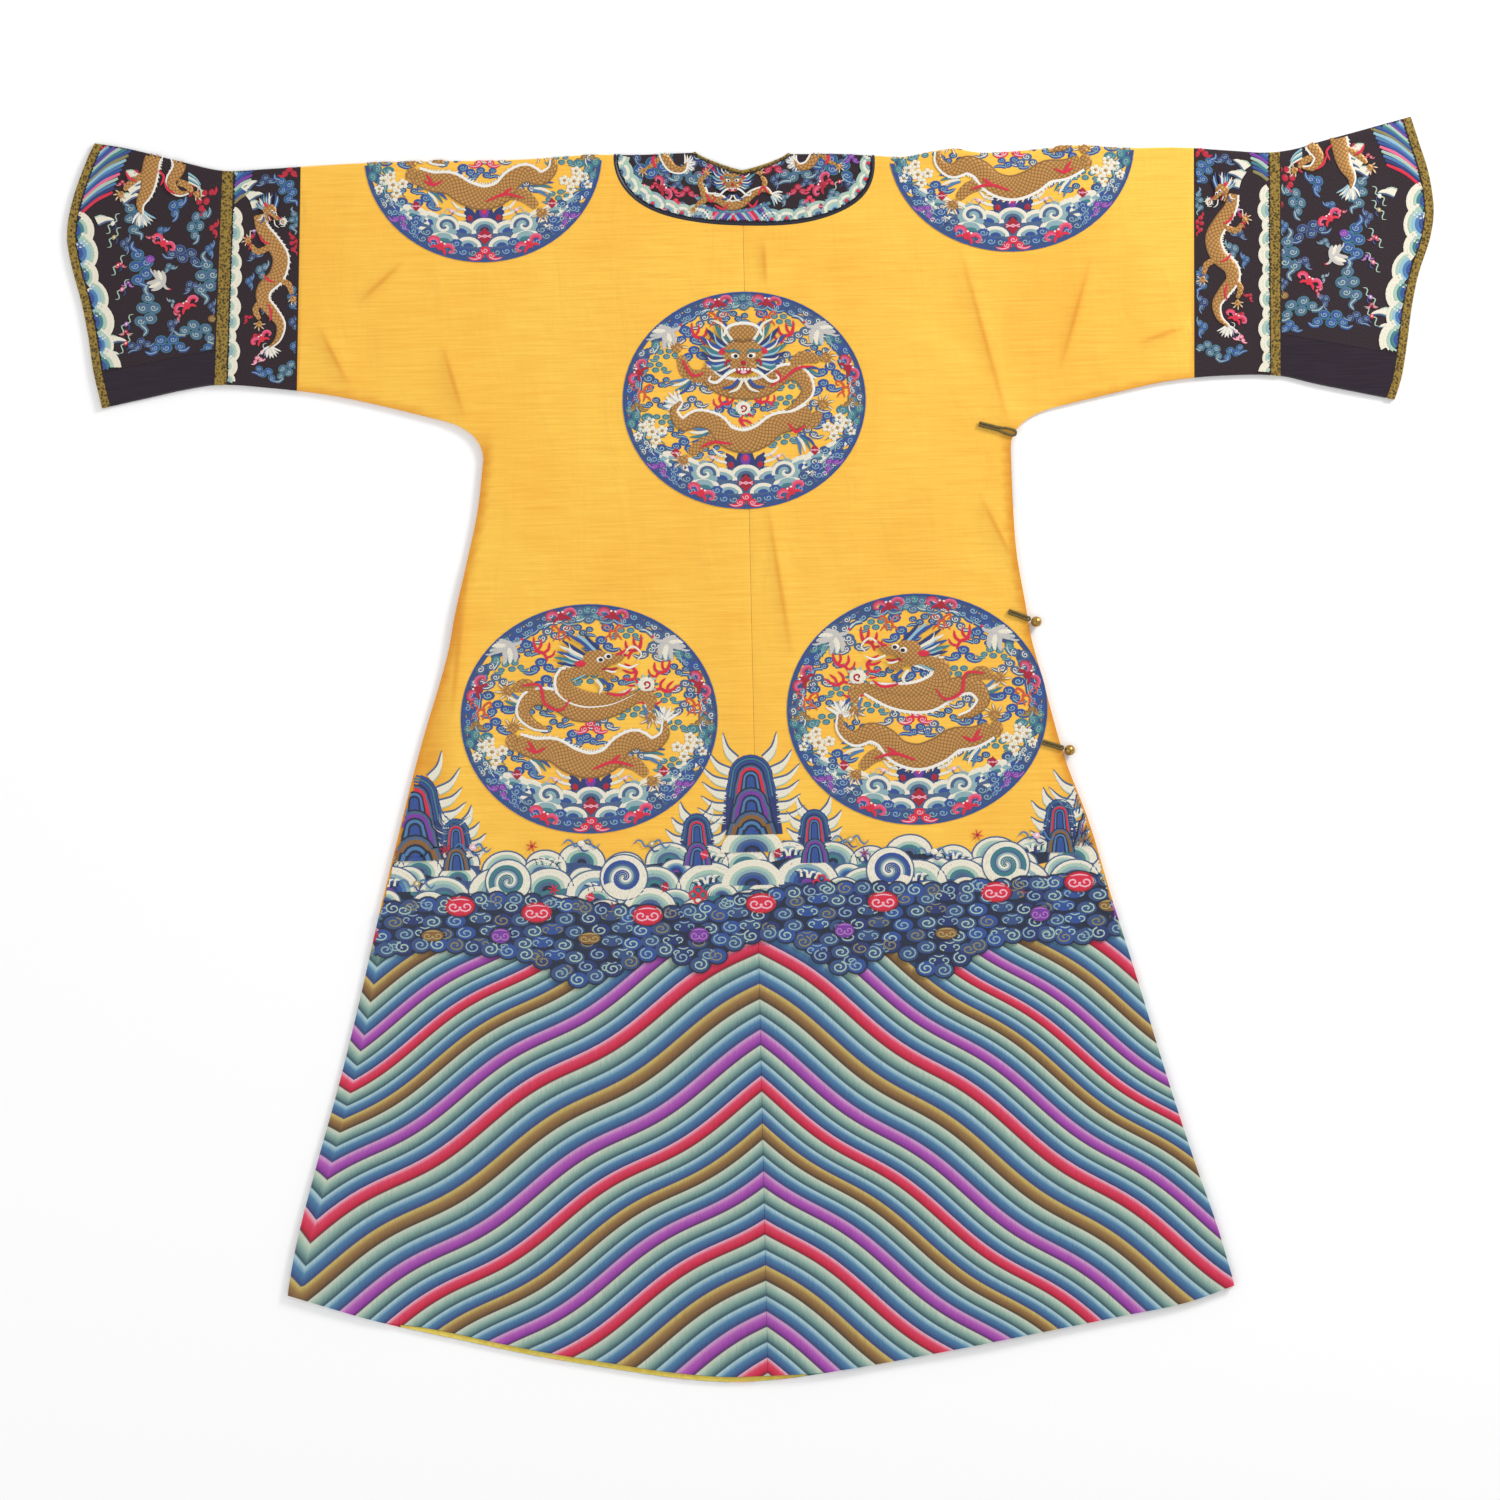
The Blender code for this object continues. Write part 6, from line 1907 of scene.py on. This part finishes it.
def collarWork():
    work = newWork()
    for side in (-1, 1):
        ring = [(x, run) for x, run in ringCurve(rings["collar"], side, 90, -3.5) if run > -14]
        gone = 0
        for index, ((x0, r0), (x1, r1)) in enumerate(zip(ring, ring[1:])):
            gone += math.hypot(x1 - x0, r1 - r0)
            if gone < 17 or abs(x1 + 15) < 40:
                continue
            gone = 0
            aim = (robe["centreX"] * 0.5 + x1 * 0.5 - x1, 10 - r1)
            turn = math.degrees(math.atan2(aim[0], -aim[1])) + 24 * side
            order = ["mist", "ivory", "celadon", "pale", "mid"] if index % 2 else ["celadon", "ivory",
                "mist", "slate"]
            spot = at(work, x1, dropAt(x1, r1), turn=turn)
            waveArch(spot, 16 + 2 * math.sin(index), order, 2 + 0.12 * index, (172, 366), 0.95)
            if index % 3 == 0:
                dot(spot, 0, -4, 2.4, 2.0, "red", 13, 7)
    for index in range(13):
        for here in mirrored(work, -15):
            tint = ("red", "pale", "deep", "purple", "celadon", "mid", "pink")[index % 7]
            x = 3.4 * index
            foot = 77 - 0.0052 * x * x
            stroke(here, [(x - 6, foot - 16), (x, foot - 9), (x + 8, foot + 2)], 2.9, tint, 2.5)
            lobe(here, x, foot - 15, 2.6, "deep" if index % 2 else "teal", "mist", 3)
    for here in mirrored(work, robe["centreX"]):
        scatter(here, ((-108, 12, "five", -24, 1.0, 0), (-62, 20, "four", 14, 0.9, 1),
            (-50, 2, "three", 0, 0.9, 2), (-70, 55, "three", 24, 0.5, 1), (-86, -4, "three", 40, 0.7, 1),
            (-124, 34, "three", 60, 0.5, 2), (-88, 20, "three", 60, 0.5, 2),
            (-104, 44, "three", 20, 0.5, 1), (-38, 26, "three", 80, 0.5, 2),
            (-122, -8, "three", 50, 0.7, 2), (-60, 66, "three", 10, 0.5, 0),
            (-48, 48, "three", 60, 0.42, 1), (-120, 50, "three", 40, 0.4, 0),
            (-74, 30, "three", 10, 0.44, 2)))
        for x, drop, form, size in ((-36, 12, "three", 0.7), (-64, 38, "three", 0.6),
                (-77, 50, "three", 0.45), (-80, 36, "three", 0.4), (-100, 30, "three", 0.36)):
            cloud(at(here, x, drop, size), form, "crimson" if size > 0.55 else "red", "pink", 2)
        bat(at(here, -92, 33, 1.0, 60), "crimson", "pink", 4)
        lozenge(at(here, -90, 58, 0.5), level=5)
        scroll(at(here, -112, 30, 0.6, 50), "celadon", "red", 3)
        scroll(at(here, -74, 60, 0.5, 10), "ivory", "pink", 3)
    dragonBody(work, [(-50, 34), (-46, 44), (-32, 47), (-18, 55), (-4, 52), (8, 42), (22, 37), (30, 44)],
        11, 3, spine=-1)
    frontHead(at(work, -15, 29, 0.78), 10)
    limbs(work, [([(-44, 46), (-54, 52), (-58, 56)], (-60, 58), 130),
        ([(20, 40), (22, 28), (18, 22)], (17, 19), -100), ([(-50, 36), (-52, 26), (-46, 20)], (-45, 18),
        -60)], 6, 4, 0.7)
    strokes(work, [[(-36, 54), (-26, 59), (-20, 52)], [(2, 52), (8, 57), (14, 49)],
        [(-46, 40), (-40, 50), (-34, 44)], [(14, 44), (20, 34), (26, 42)]], 2.6, "red", 16, 0.5, 0.2)
    tuft(work, 30, 44, 0.8, (10, 50), last="pale")
    for flip, x in ((-1, -80), (1, 70)):
        here = at(work, x, 4, flip=flip)
        dragonBody(here, [(16, -16), (11, -5), (3, 6), (-8, 8), (-13, 0)], 11, 3, spine=1)
        tuft(here, -12, 2, 0.72, (120, 165, 210, 250))
        stroke(here, [(18, -6), (26, 2), (34, 6)], 5.5, "gold", 4, 1, 0.4, slot=1)
        claw(at(here, 36, 8, 0.75, 30), 5)
        stroke(here, [(24, -10), (26, -2), (22, 6)], 4, "red", 6, 0.6, 0.3)
    cloud(at(work, 122, 4, 0.5), "three", "purple", "lilac", 3)
    outer = ringCurve(rings["collar"], -1, 60, -4.2) + ringCurve(rings["collar"], 1, 60, -4.2)[::-1]
    inner = ringCurve(rings["neck"], -1, 60, 5.4) + ringCurve(rings["neck"], 1, 60, 5.4)[::-1]

    def onCollar(x, drop):
        places = np.stack([x, unfold(x, drop)], axis=1)
        return insideRing(places, outer) & ~insideRing(places, inner)

    finishWork(work, "collar_embroidery", keep=onCollar)


collarWork()


# closures: the CAD cords and buttons keep their shape and get their finishes
for nodeName, finish in (("closure_loop_armpit", "cord"), ("closure_cord_waist", "cord"),
        ("closure_cord_hip", "cord"), ("closure_ball_waist", "brass"), ("closure_ball_hip", "brass")):
    finishes = frame["nodes"][nodeName].data.materials
    finishes.clear()
    finishes.append(materials[finish])


# floor, light and camera: straight above, turned a little, as the photo is taken
view = {
    "height": 6.0, "frameWidth": 1.725, "sensor": 36.0, "turn": 1.24,
    "aimX": -0.0134, "aimY": 0.0062, "floorDrop": 0.0006,
}


def studio():
    bpy.context.scene.view_settings.view_transform = "Standard"
    bpy.ops.object.select_all(action="DESELECT")
    bpy.ops.mesh.primitive_plane_add(size=12, location=(0, 0, -view["floorDrop"]))
    floor = bpy.context.object
    floor.name = "paper_floor"
    made, _, shader = newMaterial("whitePaperFloor", 0.9, specular=0.1)
    shader.inputs["Base Color"].default_value = (0.97, 0.97, 0.97, 1)
    floor.data.materials.append(made)
    sky = bpy.data.worlds.new("studioSky")
    bpy.context.scene.world = sky
    sky.use_nodes = True
    sky.node_tree.nodes["Background"].inputs[0].default_value = (1, 1, 1, 1)
    sky.node_tree.nodes["Background"].inputs[1].default_value = 0.7
    for name, place, size, power in (("keyLight", (2.5, 2.3, 1.6), 0.9, 88),
            ("fillLight", (-2.2, -0.6, 3.0), 2.6, 24)):
        light = bpy.data.lights.new(name, "AREA")
        light.size = size
        light.energy = power
        lamp = bpy.data.objects.new(name, light)
        lamp.location = place
        lamp.rotation_euler = (Vector((0, 0, 0)) - Vector(place)).to_track_quat("-Z", "Y").to_euler()
        bpy.context.scene.collection.objects.link(lamp)
    lens = bpy.data.cameras.new("copyCamera")
    lens.sensor_width = view["sensor"]
    lens.lens = view["sensor"] * view["height"] / view["frameWidth"]
    camera = bpy.data.objects.new("copyCamera", lens)
    camera.location = (view["aimX"], view["aimY"], view["height"])
    camera.rotation_euler = (0, 0, math.radians(-view["turn"]))
    bpy.context.scene.collection.objects.link(camera)
    bpy.context.scene.camera = camera


studio()
